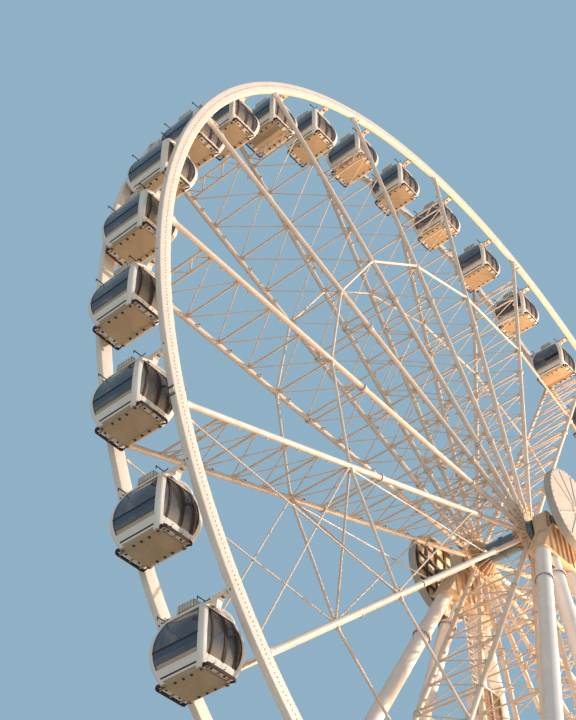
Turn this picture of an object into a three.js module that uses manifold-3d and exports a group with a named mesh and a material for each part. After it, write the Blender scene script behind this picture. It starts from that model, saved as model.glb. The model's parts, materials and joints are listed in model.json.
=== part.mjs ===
import * as THREE from 'three';
import { mergeVertices } from 'three/addons/utils/BufferGeometryUtils.js';
import Module from 'manifold-3d';

const wasm = await Module();
wasm.setup();

// The wheel is drawn from real metres and built at half size in millimetres.
const modelScale = 0.5;
const m = 1000 * modelScale;
const seat = 0.3; // gap in mm between pieces that rest on each other

// Wheel, in mm from real metres
const hubHeight = 27.0 * m;
const rimOuter = 24.0 * m;
const rimDepth = 0.545 * m;
const rimInner = rimOuter - rimDepth;
const rimInsideFace = 1.309 * m;
const rimOutsideFace = 1.558 * m;
const rimFacets = 72;
const spokeCount = 18;
const spokesPerSector = 6;
const spokeStep = (2 * Math.PI) / spokeCount;
const chordOffset = 1.42 * m;
const chordRadius = 0.11 * m;
const strutRadius = 0.045 * m;
const strutRadii = [21.24, 17.95, 14.4, 12.54, 8.78, 5.21].map((r) => r * m);
const ringRadius = 14.4 * m;
const ringBarRadius = 0.057 * m;

// Hub and axle
const axleRadius = 0.25 * m;
const axleHalfLength = 3.5 * m;
const axleSides = 18;
const drumRadius = 0.46 * m;
const flangeRadius = 1.3 * m;
const flangeHalfWidth = 0.11 * m;
const runningGap = 0.6;

// Cabins, measured from the axle each one hangs on
const cabinCount = 36;
const cabinStep = (2 * Math.PI) / cabinCount;
const cabinAxleCircle = 23.7 * m;
const cabinAxleRadius = 0.07 * m;
const cabinLevels = [
  { z: -2.65 * m, x: 0.58 * m, y: 0.77 * m },
  { z: -1.95 * m, x: 0.91 * m, y: 1.03 * m },
  { z: -1.20 * m, x: 0.91 * m, y: 1.03 * m },
  { z: -0.62 * m, x: 0.66 * m, y: 0.75 * m },
];
const cabinFloorTop = -2.53 * m;
const cabinSill = -2.22 * m;
const cabinLintel = -0.74 * m;
const cabinPost = 0.16 * m;
const cabinWall = 0.06 * m;
const roofCrown = { z: -0.5 * m, footX: 0.6 * m, topX: 0.35 * m, y: 0.72 * m };
const roofUnit = { x: 0.58 * m, y: 0.33 * m, top: -0.17 * m };
const hanger = {
  footX: 0.2 * m, headX: 0.07 * m, footZ: -0.56 * m, headZ: 0.05 * m,
  footY: 0.62 * m, headY: 1.07 * m, half: 0.04 * m,
};

// Supports
const headHalfWidth = 0.62 * m;
const headInside = 1.92 * m;
const headOutside = 2.6 * m;
const headTop = 0.55 * m;
const crownInside = 2.0 * m;
const crownOutside = 2.95 * m;
const crownTop = -0.5 * m;
const crownBottom = -2.4 * m;
const crownHalfWidth = 1.9 * m;
const legRadius = 0.33 * m;
const legSides = 12;
const legLean = 0.2;
const legStart = { y: 2.24 * m, z: -0.72 * m };
const legKinds = [
  { name: 'inner', x: 0.36 * m, spread: 0.265, joint: -3.6 * m },
  { name: 'outer', x: 0.6 * m, spread: 0.54, joint: -4.9 * m },
];
const legJointRadius = 0.41 * m;
const legJointHalf = 0.06 * m;
const footPlate = { half: 0.48 * m, thickness: 0.1 * m };
const beamHeight = 0.45 * m;
const beamHalfWidth = 0.5 * m;
const beamHalfLength = 15.4 * m;
const tieHalfWidth = 0.15 * m;
const tieHeight = 0.3 * m;

// Hub discs
const discRadius = 2.18 * m;
const discDepth = 0.36 * m;
const discWall = 0.08 * m;
const discFace = 0.05 * m;
const discSides = 20;
const discBar = 0.05 * m;

// Louvred service housing under the far bearing
const housing = {
  xMin: -0.6 * m, xMax: 0.9 * m, yMin: 1.78 * m, yMax: 2.6 * m, top: -6.6 * m, bottom: -8.5 * m,
};
const housingRail = { z: -8.2 * m, half: 0.1 * m };
const ladderRail = { x: 0.2 * m, y: 2.45 * m, half: 0.03 * m };

const cream = { color: 0xeee2cf, roughness: 0.45, metalness: 0.1 };
const slate = { color: 0x3c4a54, roughness: 0.5, metalness: 0.3 };
const steel = { color: 0xcfc4b4, roughness: 0.5, metalness: 0.2 };
const dark = { color: 0x4a4640, roughness: 0.6, metalness: 0.3 };

const worldX = new THREE.Vector3(1, 0, 0);
const worldY = new THREE.Vector3(0, 1, 0);
const worldZ = new THREE.Vector3(0, 0, 1);

function toSolid(geometry) {
  const bare = geometry.clone();
  bare.deleteAttribute('normal');
  bare.deleteAttribute('uv');
  const merged = mergeVertices(bare, 1e-3);
  return new wasm.Manifold(new wasm.Mesh({
    numProp: 3,
    vertProperties: new Float32Array(merged.attributes.position.array),
    triVerts: new Uint32Array(merged.index.array),
  }));
}

function toGeometry(solid) {
  const mesh = solid.getMesh();
  const geometry = new THREE.BufferGeometry();
  geometry.setAttribute('position', new THREE.BufferAttribute(new Float32Array(mesh.vertProperties), 3));
  geometry.setIndex(new THREE.BufferAttribute(new Uint32Array(mesh.triVerts), 1));
  geometry.computeVertexNormals();
  return geometry;
}

function join(solids) {
  return solids.reduce((whole, solid) => whole.add(solid));
}

function box(xMin, xMax, yMin, yMax, zMin, zMax) {
  const geometry = new THREE.BoxGeometry(xMax - xMin, yMax - yMin, zMax - zMin);
  geometry.translate((xMin + xMax) / 2, (yMin + yMax) / 2, (zMin + zMax) / 2);
  return geometry;
}

// A straight bar with one flat facing the vector named side
function bar(start, end, radius, sides, side) {
  const length = start.distanceTo(end);
  const flatTurn = Math.PI / 2 - Math.PI / sides;
  const geometry = new THREE.CylinderGeometry(radius, radius, length, sides, 1, false, flatTurn);
  const along = end.clone().sub(start).normalize();
  const across = side.clone().addScaledVector(along, -side.dot(along)).normalize();
  const third = across.clone().cross(along);
  const frame = new THREE.Matrix4().makeBasis(across, along, third);
  frame.setPosition(start.clone().add(end).multiplyScalar(0.5));
  return geometry.applyMatrix4(frame);
}

// A point on the wheel, from the hub's centre
function onWheel(angle, radius, y) {
  return new THREE.Vector3(radius * Math.cos(angle), y, radius * Math.sin(angle));
}

// A solid extruded along Y from points given as x, z
function plateAlongY(points, yMin, yMax) {
  const shape = new THREE.Shape(points.map(([x, z]) => new THREE.Vector2(x, z)));
  const geometry = new THREE.ExtrudeGeometry(shape, { depth: yMax - yMin, bevelEnabled: false });
  geometry.rotateX(Math.PI / 2);
  geometry.translate(0, yMax, 0);
  return geometry;
}

// A solid extruded along X from points given as y, z
function plateAlongX(points, xMin, xMax) {
  const shape = new THREE.Shape(points.map(([y, z]) => new THREE.Vector2(y, z)));
  const geometry = new THREE.ExtrudeGeometry(shape, { depth: xMax - xMin, bevelEnabled: false });
  geometry.applyMatrix4(new THREE.Matrix4().makeBasis(worldY, worldZ, worldX));
  geometry.translate(xMin, 0, 0);
  return geometry;
}

// A solid turned about the Y axis with a flat facing +X; the profile is a closed list of radius, y
function turned(profile, sides) {
  const points = [...profile, profile[0]].map(([r, y]) => new THREE.Vector2(r, y));
  return new THREE.LatheGeometry(points, sides, Math.PI / 2 - Math.PI / sides);
}

const wheelModel = new THREE.Group();
wheelModel.name = 'ferris_wheel';
const atHub = new THREE.Group();
atHub.position.set(0, 0, hubHeight);
wheelModel.add(atHub);

function addMesh(parent, name, geometry, finish) {
  const mesh = new THREE.Mesh(geometry, new THREE.MeshStandardMaterial(finish));
  mesh.name = name;
  parent.add(mesh);
  return mesh;
}

// Rims: the radii are those of the flats, so that spokes meet a flat squarely
function rim(sign) {
  const cornerScale = 1 / Math.cos(Math.PI / rimFacets);
  const inner = rimInner * cornerScale;
  const outer = rimOuter * cornerScale;
  const low = sign > 0 ? rimInsideFace : -rimOutsideFace;
  const high = sign > 0 ? rimOutsideFace : -rimInsideFace;
  return turned([[inner, low], [outer, low], [outer, high], [inner, high]], rimFacets);
}
addMesh(atHub, 'near_rim', rim(-1), cream);
addMesh(atHub, 'far_rim', rim(1), cream);

// Spokes: two chords joined by struts, and ring bars to the next spoke on both sides
function spoke(angle) {
  const bars = [];
  for (const side of [-1, 1]) {
    const start = onWheel(angle, flangeRadius + seat, side * chordOffset);
    const end = onWheel(angle, rimInner - seat, side * chordOffset);
    bars.push(bar(start, end, chordRadius, 6, worldY));
  }
  for (const radius of strutRadii) {
    const start = onWheel(angle, radius, -chordOffset);
    const end = onWheel(angle, radius, chordOffset);
    bars.push(bar(start, end, strutRadius, 4, onWheel(angle, 1, 0)));
  }
  return bars;
}

function ringBars(angle, stopsShort) {
  const next = angle + spokeStep;
  return [-1, 1].map((side) => {
    const start = onWheel(angle, ringRadius, side * chordOffset);
    const end = onWheel(next, ringRadius, side * chordOffset);
    if (stopsShort) {
      const back = start.clone().sub(end).setLength(chordRadius * 1.3 + seat);
      end.add(back);
    }
    return bar(start, end, ringBarRadius, 4, worldY);
  });
}

for (let sector = 0; sector < spokeCount / spokesPerSector; sector += 1) {
  const bars = [];
  for (let i = 0; i < spokesPerSector; i += 1) {
    const angle = (sector * spokesPerSector + i) * spokeStep;
    bars.push(...spoke(angle), ...ringBars(angle, i === spokesPerSector - 1));
  }
  addMesh(atHub, `spoke_sector_${sector + 1}`, toGeometry(join(bars.map(toSolid))), cream);
}

// Hub: a drum with two flanges that turns on the fixed axle
function hub() {
  const bore = (axleRadius + runningGap) / Math.cos(Math.PI / spokeCount);
  const flange = flangeRadius / Math.cos(Math.PI / spokeCount);
  const inside = chordOffset - flangeHalfWidth;
  const outside = chordOffset + flangeHalfWidth;
  return turned([
    [bore, -outside], [flange, -outside], [flange, -inside], [drumRadius, -inside],
    [drumRadius, inside], [flange, inside], [flange, outside], [bore, outside],
  ], spokeCount);
}
addMesh(atHub, 'hub_drum', hub(), slate);

// The axle is turned so that its corners lie against the flats of the hub's bore
const axle = new THREE.CylinderGeometry(
  axleRadius, axleRadius, 2 * axleHalfLength, axleSides, 1, false, Math.PI / axleSides,
);
addMesh(atHub, 'main_axle', axle, steel);

// Bearing heads: a housing around the axle on a crown that takes four legs
function head() {
  const housingBox = box(-headHalfWidth, headHalfWidth, headInside, headOutside, crownTop, headTop);
  const crown = plateAlongY([
    [-crownHalfWidth, crownBottom], [crownHalfWidth, crownBottom],
    [headHalfWidth, crownTop], [-headHalfWidth, crownTop],
  ], crownInside, crownOutside);
  const boreRadius = axleRadius + seat / Math.cos(Math.PI / axleSides);
  const bore = new THREE.CylinderGeometry(
    boreRadius, boreRadius, 4 * headOutside, axleSides, 1, false, Math.PI / axleSides,
  );
  return toGeometry(join([housingBox, crown].map(toSolid)).subtract(toSolid(bore)));
}
const farHead = head();
addMesh(atHub, 'far_bearing_head', farHead, steel);
addMesh(atHub, 'near_bearing_head', farHead.clone().rotateZ(Math.PI), steel);

// Legs: tubes with a bolted joint, cut level at the crown and at the foot plate
function leg(kind, xSign, ySign) {
  const along = (z) => {
    const drop = legStart.z - z;
    return new THREE.Vector3(
      xSign * (kind.x + kind.spread * drop),
      ySign * (legStart.y + legLean * drop),
      z,
    );
  };
  const footTop = beamHeight + seat + footPlate.thickness - hubHeight;
  const overlap = 2 * legRadius;
  const tube = bar(along(crownBottom + overlap), along(footTop - overlap), legRadius, legSides, worldY);
  const direction = along(0).sub(along(-1));
  const jointHalf = direction.clone().setLength(legJointHalf);
  const middle = along(kind.joint);
  const collar = bar(
    middle.clone().sub(jointHalf), middle.clone().add(jointHalf), legJointRadius, legSides, worldY,
  );
  const reach = 20 * m;
  const above = box(-reach, reach, -reach, reach, crownBottom - seat, crownBottom + 2 * overlap);
  const below = box(-reach, reach, -reach, reach, footTop - 2 * overlap, footTop);
  const foot = along(footTop - footPlate.thickness);
  const plate = box(
    foot.x - footPlate.half, foot.x + footPlate.half, foot.y - footPlate.half, foot.y + footPlate.half,
    footTop - footPlate.thickness, footTop + 0.01 * m,
  );
  const trimmed = toSolid(tube).add(toSolid(collar)).subtract(toSolid(above)).subtract(toSolid(below));
  return toGeometry(trimmed.add(toSolid(plate)));
}

const sides = [{ name: 'near', sign: -1 }, { name: 'far', sign: 1 }];
const hands = [{ name: 'left', sign: -1 }, { name: 'right', sign: 1 }];
for (const side of sides) {
  for (const hand of hands) {
    for (const kind of legKinds) {
      addMesh(atHub, `${side.name}_${hand.name}_${kind.name}_leg`, leg(kind, hand.sign, side.sign), cream);
    }
  }
}

// Ground beams carry the four feet of each side, and two ties join them
const footY = legStart.y + legLean * (legStart.z + hubHeight - beamHeight);
for (const side of sides) {
  const middle = side.sign * footY;
  addMesh(wheelModel, `${side.name}_ground_beam`, box(
    -beamHalfLength, beamHalfLength, middle - beamHalfWidth, middle + beamHalfWidth, 0, beamHeight,
  ), steel);
}
const tieX = legKinds[0].x + legKinds[0].spread * (legStart.z + hubHeight - beamHeight);
const tieEnd = footY - beamHalfWidth - seat;
for (const hand of hands) {
  const middle = hand.sign * tieX;
  addMesh(wheelModel, `${hand.name}_ground_tie`, box(
    middle - tieHalfWidth, middle + tieHalfWidth, -tieEnd, tieEnd, 0, tieHeight,
  ), steel);
}

// Hub discs: a shallow drum, open towards the wheel, with a lattice of bars across its back
function hubDisc() {
  const back = axleHalfLength + seat;
  const front = back + discDepth;
  const shell = toSolid(turned([
    [discRadius, back], [discRadius, front], [0, front], [0, front - discFace],
    [discRadius - discWall, front - discFace], [discRadius - discWall, back],
  ], discSides));
  const bars = [];
  const inside = discRadius - discWall / 2;
  for (const turn of [Math.PI / 4, -Math.PI / 4]) {
    for (const place of [-0.35, 0.35]) {
      const half = Math.sqrt(1 - place * place) * inside * 0.97;
      const bent = box(-half, half, back, back + 2 * discBar, place * inside - discBar, place * inside + discBar);
      bars.push(toSolid(bent.rotateY(turn)));
    }
  }
  const boss = new THREE.CylinderGeometry(axleRadius * 1.6, axleRadius * 1.6, discDepth, discSides / 2);
  boss.translate(0, back + discDepth / 2, 0);
  return toGeometry(shell.add(join(bars)).add(toSolid(boss)));
}
const farDisc = hubDisc();
addMesh(atHub, 'far_hub_disc', farDisc, dark);
addMesh(atHub, 'near_hub_disc', farDisc.clone().rotateZ(Math.PI), dark);

// Service housing: a louvred box on a rail between the inner legs, with a ladder to the crown
function serviceHousing() {
  const h = housing;
  const body = box(h.xMin, h.xMax, h.yMin, h.yMax, h.bottom, h.top);
  const drop = legStart.z - housingRail.z;
  const railY = legStart.y + legLean * drop;
  const legX = legKinds[0].x + legKinds[0].spread * drop;
  const railEnd = legX - legRadius * 1.1 - seat;
  const half = housingRail.half;
  const rail = box(-railEnd, railEnd, railY - half, railY + half, housingRail.z - half, housingRail.z + half);
  const arms = [h.xMin + 2 * half, h.xMax - 2 * half].map((x) => box(
    x - half, x + half, h.yMax - half, railY, housingRail.z - half, housingRail.z + half,
  ));
  const rungs = [];
  const rungCount = 7;
  const ladderTop = crownBottom - seat;
  for (let i = 1; i <= rungCount; i += 1) {
    const z = h.top + (i * (ladderTop - h.top)) / (rungCount + 1);
    const r = ladderRail.half / 2;
    rungs.push(box(-ladderRail.x, ladderRail.x, ladderRail.y - r, ladderRail.y + r, z - r, z + r));
  }
  const rails = [-1, 1].map((sign) => box(
    sign * ladderRail.x - ladderRail.half, sign * ladderRail.x + ladderRail.half,
    ladderRail.y - ladderRail.half, ladderRail.y + ladderRail.half, h.top - half, ladderTop,
  ));
  return toGeometry(join([body, rail, ...arms, ...rungs, ...rails].map(toSolid)));
}
addMesh(atHub, 'service_housing', serviceHousing(), steel);

// Cabin outline at a height, from the listed levels
function cabinHalf(axis, z) {
  for (let i = 1; i < cabinLevels.length; i += 1) {
    const low = cabinLevels[i - 1];
    const high = cabinLevels[i];
    if (z <= high.z) return THREE.MathUtils.mapLinear(z, low.z, high.z, low[axis], high[axis]);
  }
  return cabinLevels[cabinLevels.length - 1][axis];
}

// The whole outer form, closed, from four rings of corners
function cabinForm() {
  const corners = [[-1, -1], [1, -1], [1, 1], [-1, 1]];
  const vertices = cabinLevels.flatMap((level) => corners.flatMap(([sx, sy]) => [
    sx * level.x, sy * level.y, level.z,
  ]));
  const faces = [0, 2, 1, 0, 3, 2];
  for (let i = 0; i + 1 < cabinLevels.length; i += 1) {
    for (let c = 0; c < 4; c += 1) {
      const a = 4 * i + c;
      const b = 4 * i + ((c + 1) % 4);
      faces.push(a, b, b + 4, a, b + 4, a + 4);
    }
  }
  const top = 4 * (cabinLevels.length - 1);
  faces.push(top, top + 1, top + 2, top, top + 2, top + 3);
  const geometry = new THREE.BufferGeometry();
  geometry.setAttribute('position', new THREE.Float32BufferAttribute(vertices, 3));
  geometry.setIndex(faces);
  return geometry;
}

// The see-through part of a side: between the corner posts, from the sill to the lintel
function cabinWindow(axis) {
  const heights = [cabinSill, cabinLevels[1].z, cabinLevels[2].z, cabinLintel];
  const right = heights.map((z) => [cabinHalf(axis, z) - cabinPost, z]);
  const left = [...right].reverse().map(([w, z]) => [-w, z]);
  return [...right, ...left];
}

// A leaning plate from the roof out to a short pin in the rim, on one side of the cabin
function cabinHanger(sign) {
  const h = hanger;
  const lean = (h.headY - h.footY) / (h.headZ - h.footZ);
  const plate = plateAlongY([
    [-h.footX, h.footZ], [h.footX, h.footZ], [h.headX, h.headZ], [-h.headX, h.headZ],
  ], -h.half, h.half);
  const leaning = new THREE.Matrix4().set(1, 0, 0, 0, 0, 1, sign * lean, 0, 0, 0, 1, 0, 0, 0, 0, 1);
  plate.translate(0, 0, -h.footZ).applyMatrix4(leaning).translate(0, sign * h.footY, h.footZ);
  const pinStart = new THREE.Vector3(0, sign * (h.headY - 3 * h.half), 0);
  const pinEnd = new THREE.Vector3(0, sign * (rimInsideFace - seat), 0);
  return [plate, bar(pinStart, pinEnd, cabinAxleRadius, 6, worldZ)];
}

function cabin() {
  const reach = 2 * m;
  const floor = cabinLevels[0];
  const well = box(
    -floor.x + cabinWall, floor.x - cabinWall, -floor.y + cabinWall, floor.y - cabinWall,
    cabinFloorTop, cabinSill + cabinWall,
  );
  const body = toSolid(cabinForm())
    .subtract(toSolid(plateAlongX(cabinWindow('y'), -reach, reach)))
    .subtract(toSolid(plateAlongY(cabinWindow('x'), -reach, reach)))
    .subtract(toSolid(well));
  const under = cabinLevels[cabinLevels.length - 1].z - cabinWall;
  const crown = plateAlongY([
    [-roofCrown.footX, under], [roofCrown.footX, under],
    [roofCrown.topX, roofCrown.z], [-roofCrown.topX, roofCrown.z],
  ], -roofCrown.y, roofCrown.y);
  const unit = box(-roofUnit.x, roofUnit.x, -roofUnit.y, roofUnit.y, under, roofUnit.top);
  const fittings = [crown, unit, ...[-1, 1].flatMap(cabinHanger)];
  return toGeometry(join([body, ...fittings.map(toSolid)]));
}

const cabinGeometry = cabin();
for (let i = 0; i < cabinCount; i += 1) {
  const angle = (i + 0.5) * cabinStep;
  const number = String(i + 1).padStart(2, '0');
  const mesh = addMesh(atHub, `cabin_${number}`, cabinGeometry, cream);
  mesh.position.copy(onWheel(angle, cabinAxleCircle, 0));
}

export default wheelModel;
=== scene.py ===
import json
import math

import bpy
from mathutils import Matrix, Vector


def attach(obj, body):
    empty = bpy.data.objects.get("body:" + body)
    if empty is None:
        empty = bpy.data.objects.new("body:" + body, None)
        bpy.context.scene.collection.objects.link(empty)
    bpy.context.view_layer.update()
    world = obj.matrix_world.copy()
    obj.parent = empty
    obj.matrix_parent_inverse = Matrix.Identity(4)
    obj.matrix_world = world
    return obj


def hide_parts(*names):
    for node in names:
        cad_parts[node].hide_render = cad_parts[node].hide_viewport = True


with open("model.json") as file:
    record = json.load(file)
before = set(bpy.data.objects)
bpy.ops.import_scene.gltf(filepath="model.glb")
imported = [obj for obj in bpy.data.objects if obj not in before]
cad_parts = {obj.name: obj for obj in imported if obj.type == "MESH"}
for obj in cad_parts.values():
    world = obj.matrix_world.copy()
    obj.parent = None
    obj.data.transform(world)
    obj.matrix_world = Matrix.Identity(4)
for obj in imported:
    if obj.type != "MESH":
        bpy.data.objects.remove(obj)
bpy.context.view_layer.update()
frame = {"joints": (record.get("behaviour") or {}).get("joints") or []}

# Shapes are written in real metres from the hub or from a cabin's axle, and halved on their way in
modelScale = 0.5
joints = {joint["name"]: Vector(joint["pos_m"]) for joint in frame["joints"]}
hubCentre = joints["wheel_spin"]
xAxis, yAxis, zAxis = Vector((1, 0, 0)), Vector((0, 1, 0)), Vector((0, 0, 1))
sides = {"near": -1, "far": 1}
hands = {"left": -1, "right": 1}


# The matrix that turns x, y and z along three directions and moves to a spot
def frameAt(u, v, w, spot):
    turn = Matrix((u, v, w)).transposed().to_4x4()
    turn.translation = spot
    return turn


print("stage: camera and light")

view = {
    "place": (-20.619, -10.934, -4.065),
    "right": (0.64646, -0.76295, -0.00144),
    "up": (-0.55001, -0.46735, 0.69215),
    "lens": 62.13,
    "sensor": 36.0,
}


def makeCamera(v):
    data = bpy.data.cameras.new("view_camera")
    data.lens = v["lens"]
    data.sensor_width = v["sensor"]
    data.sensor_fit = "AUTO"
    data.clip_end = 300
    data.dof.use_dof = False
    camera = bpy.data.objects.new("view_camera", data)
    right = Vector(v["right"]).normalized()
    up = Vector(v["up"])
    up = (up - right * up.dot(right)).normalized()
    camera.matrix_world = frameAt(right, up, right.cross(up), v["place"])
    bpy.context.scene.collection.objects.link(camera)
    bpy.context.scene.camera = camera


makeCamera(view)

backdrop = {"seen": (0.28, 0.44, 0.56), "ambient": (0.29, 0.285, 0.28)}
# Where each light comes from, its colour, its energy, its angle in degrees, and whether it casts shadows
suns = {
    "sun_light": ((0.72, -0.62, 0.26), (1.0, 0.87, 0.79), 4.1, 1.2, True),
    "bounce_light": ((0.40, -0.30, -0.86), (1.0, 0.62, 0.38), 0.35, 40.0, False),
    "fill_light": ((-0.8, -0.5, -0.1), (0.86, 0.93, 1.0), 0.8, 60.0, True),
}
sunDistance = 40
# A large soft panel low on the right, which warms the undersides that face it
glow = {
    "place": (14.0, -6.0, 6.0), "aim": (-6.0, 0.0, 21.0), "size": 7.0,
    "colour": (1.0, 0.60, 0.34), "energy": 11500,
}


def makeLight(name, kind, colour, energy, way, location):
    data = bpy.data.lights.new(name, kind)
    data.color = colour
    data.energy = energy
    lamp = bpy.data.objects.new(name, data)
    lamp.rotation_mode = "QUATERNION"
    lamp.rotation_quaternion = way.to_track_quat("Z", "Y")
    lamp.location = location
    bpy.context.scene.collection.objects.link(lamp)
    return lamp


def makeLights():
    for name, (come, colour, energy, angle, shadow) in suns.items():
        way = Vector(come)
        data = makeLight(name, "SUN", colour, energy, way, way * sunDistance).data
        data.angle = math.radians(angle)
        data.use_shadow = shadow
    way = Vector(glow["place"]) - Vector(glow["aim"])
    panel = makeLight("glow_light", "AREA", glow["colour"], glow["energy"], way, glow["place"])
    panel.data.size = glow["size"]
    panel.visible_camera = False


# The camera and the reflections see a plain pale backdrop, and the object gets soft, nearly neutral light
def makeWorld(v):
    world = bpy.data.worlds.new("pale_backdrop")
    world.use_nodes = True
    nodes, links = world.node_tree.nodes, world.node_tree.links
    soft = nodes["Background"]
    soft.inputs["Color"].default_value = (*v["ambient"], 1)
    back = nodes.new("ShaderNodeBackground")
    back.inputs["Color"].default_value = (*v["seen"], 1)
    either = nodes.new("ShaderNodeMixShader")
    rays = nodes.new("ShaderNodeLightPath")
    shown = nodes.new("ShaderNodeMath")
    shown.operation = "MAXIMUM"
    links.new(rays.outputs["Is Camera Ray"], shown.inputs[0])
    links.new(rays.outputs["Is Glossy Ray"], shown.inputs[1])
    links.new(shown.outputs["Value"], either.inputs[0])
    links.new(soft.outputs["Background"], either.inputs[1])
    links.new(back.outputs["Background"], either.inputs[2])
    links.new(either.outputs[0], nodes["World Output"].inputs["Surface"])
    bpy.context.scene.world = world


makeLights()
makeWorld(backdrop)
bpy.context.scene.view_settings.view_transform = "Standard"

print("stage: finishes")


def newGroup(name, inputs, outputs):
    group = bpy.data.node_groups.new(name, "ShaderNodeTree")
    for socketName, kind, value in inputs:
        socket = group.interface.new_socket(name=socketName, in_out="INPUT", socket_type=kind)
        if value is not None:
            socket.default_value = value
    for socketName, kind in outputs:
        group.interface.new_socket(name=socketName, in_out="OUTPUT", socket_type=kind)
    return group, group.nodes.new("NodeGroupInput"), group.nodes.new("NodeGroupOutput")


def noise(tree, vector, scale, detail):
    node = tree.nodes.new("ShaderNodeTexNoise")
    node.inputs["Scale"].default_value = scale
    node.inputs["Detail"].default_value = detail
    tree.links.new(vector, node.inputs["Vector"])
    return node.outputs["Fac"]


def stretch(tree, vector, scale):
    node = tree.nodes.new("ShaderNodeMapping")
    node.inputs["Scale"].default_value = scale
    tree.links.new(vector, node.inputs["Vector"])
    return node.outputs["Vector"]


def remap(tree, value, low, high, toLow=0.0, toHigh=1.0):
    node = tree.nodes.new("ShaderNodeMapRange")
    for socketName, number in (("From Min", low), ("From Max", high), ("To Min", toLow), ("To Max", toHigh)):
        node.inputs[socketName].default_value = number
    tree.links.new(value, node.inputs["Value"])
    return node.outputs["Result"]


def calc(tree, operation, a, b, clamp=False):
    node = tree.nodes.new("ShaderNodeMath")
    node.operation = operation
    node.use_clamp = clamp
    for socket, value in zip(node.inputs, (a, b)):
        if isinstance(value, (int, float)):
            socket.default_value = value
        else:
            tree.links.new(value, socket)
    return node.outputs["Value"]


def blendColours(tree, factor, a, b):
    node = tree.nodes.new("ShaderNodeMix")
    node.data_type = "RGBA"
    tree.links.new(factor, node.inputs["Factor"])
    for socket, value in ((node.inputs[6], a), (node.inputs[7], b)):
        if isinstance(value, tuple):
            socket.default_value = (*value, 1)
        else:
            tree.links.new(value, socket)
    return node.outputs[2]


# Paint that has stood outdoors: soft mottling, rain streaks down the sides and a fine orange-peel surface
def makeWeatherGroup():
    group, given, made = newGroup(
        "weathered_paint",
        (
            ("Vector", "NodeSocketVector", None),
            ("Paint", "NodeSocketColor", (0.8, 0.8, 0.8, 1)),
            ("Grime", "NodeSocketColor", (0.3, 0.25, 0.2, 1)),
            ("Grime Amount", "NodeSocketFloat", 0.2),
            ("Streak Amount", "NodeSocketFloat", 0.2),
            ("Roughness Low", "NodeSocketFloat", 0.35),
            ("Roughness High", "NodeSocketFloat", 0.55),
        ),
        (("Color", "NodeSocketColor"), ("Roughness", "NodeSocketFloat"), ("Height", "NodeSocketFloat")),
    )
    give, vector = given.outputs, given.outputs["Vector"]
    mottle = remap(group, noise(group, vector, 2.6, 5), 0.38, 0.68)
    streaks = remap(group, noise(group, stretch(group, vector, (9, 9, 0.9)), 2.2, 4), 0.52, 0.74)
    dirt = calc(
        group, "ADD",
        calc(group, "MULTIPLY", mottle, give["Grime Amount"]),
        calc(group, "MULTIPLY", streaks, give["Streak Amount"]), True,
    )
    spread = calc(group, "SUBTRACT", give["Roughness High"], give["Roughness Low"])
    rough = calc(group, "ADD", give["Roughness Low"], calc(group, "MULTIPLY", mottle, spread))
    peel = calc(group, "MULTIPLY", noise(group, vector, 160, 2), 0.25)
    lumps = calc(group, "MULTIPLY", noise(group, vector, 14, 3), 0.75)
    group.links.new(blendColours(group, dirt, give["Paint"], give["Grime"]), made.inputs["Color"])
    group.links.new(rough, made.inputs["Roughness"])
    group.links.new(calc(group, "ADD", peel, lumps), made.inputs["Height"])
    return group


weatherGroup = makeWeatherGroup()


def startFinish(name):
    material = bpy.data.materials.new(name)
    material.use_nodes = True
    tree = material.node_tree
    coords = tree.nodes.new("ShaderNodeTexCoord").outputs["Object"]
    return material, tree, tree.nodes["Principled BSDF"], coords


def paintFinish(name, paint, grime, amount, streaks, roughLow, roughHigh, bumpiness, metal):
    material, tree, shader, coords = startFinish(name)
    weather = tree.nodes.new("ShaderNodeGroup")
    weather.node_tree = weatherGroup
    tree.links.new(coords, weather.inputs["Vector"])
    weather.inputs["Paint"].default_value = (*paint, 1)
    weather.inputs["Grime"].default_value = (*grime, 1)
    weather.inputs["Grime Amount"].default_value = amount
    weather.inputs["Streak Amount"].default_value = streaks
    weather.inputs["Roughness Low"].default_value = roughLow
    weather.inputs["Roughness High"].default_value = roughHigh
    tree.links.new(weather.outputs["Color"], shader.inputs["Base Color"])
    tree.links.new(weather.outputs["Roughness"], shader.inputs["Roughness"])
    bump = tree.nodes.new("ShaderNodeBump")
    bump.inputs["Strength"].default_value = bumpiness
    bump.inputs["Distance"].default_value = 0.004
    tree.links.new(weather.outputs["Height"], bump.inputs["Height"])
    tree.links.new(bump.outputs["Normal"], shader.inputs["Normal"])
    shader.inputs["Metallic"].default_value = metal
    return material


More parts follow.
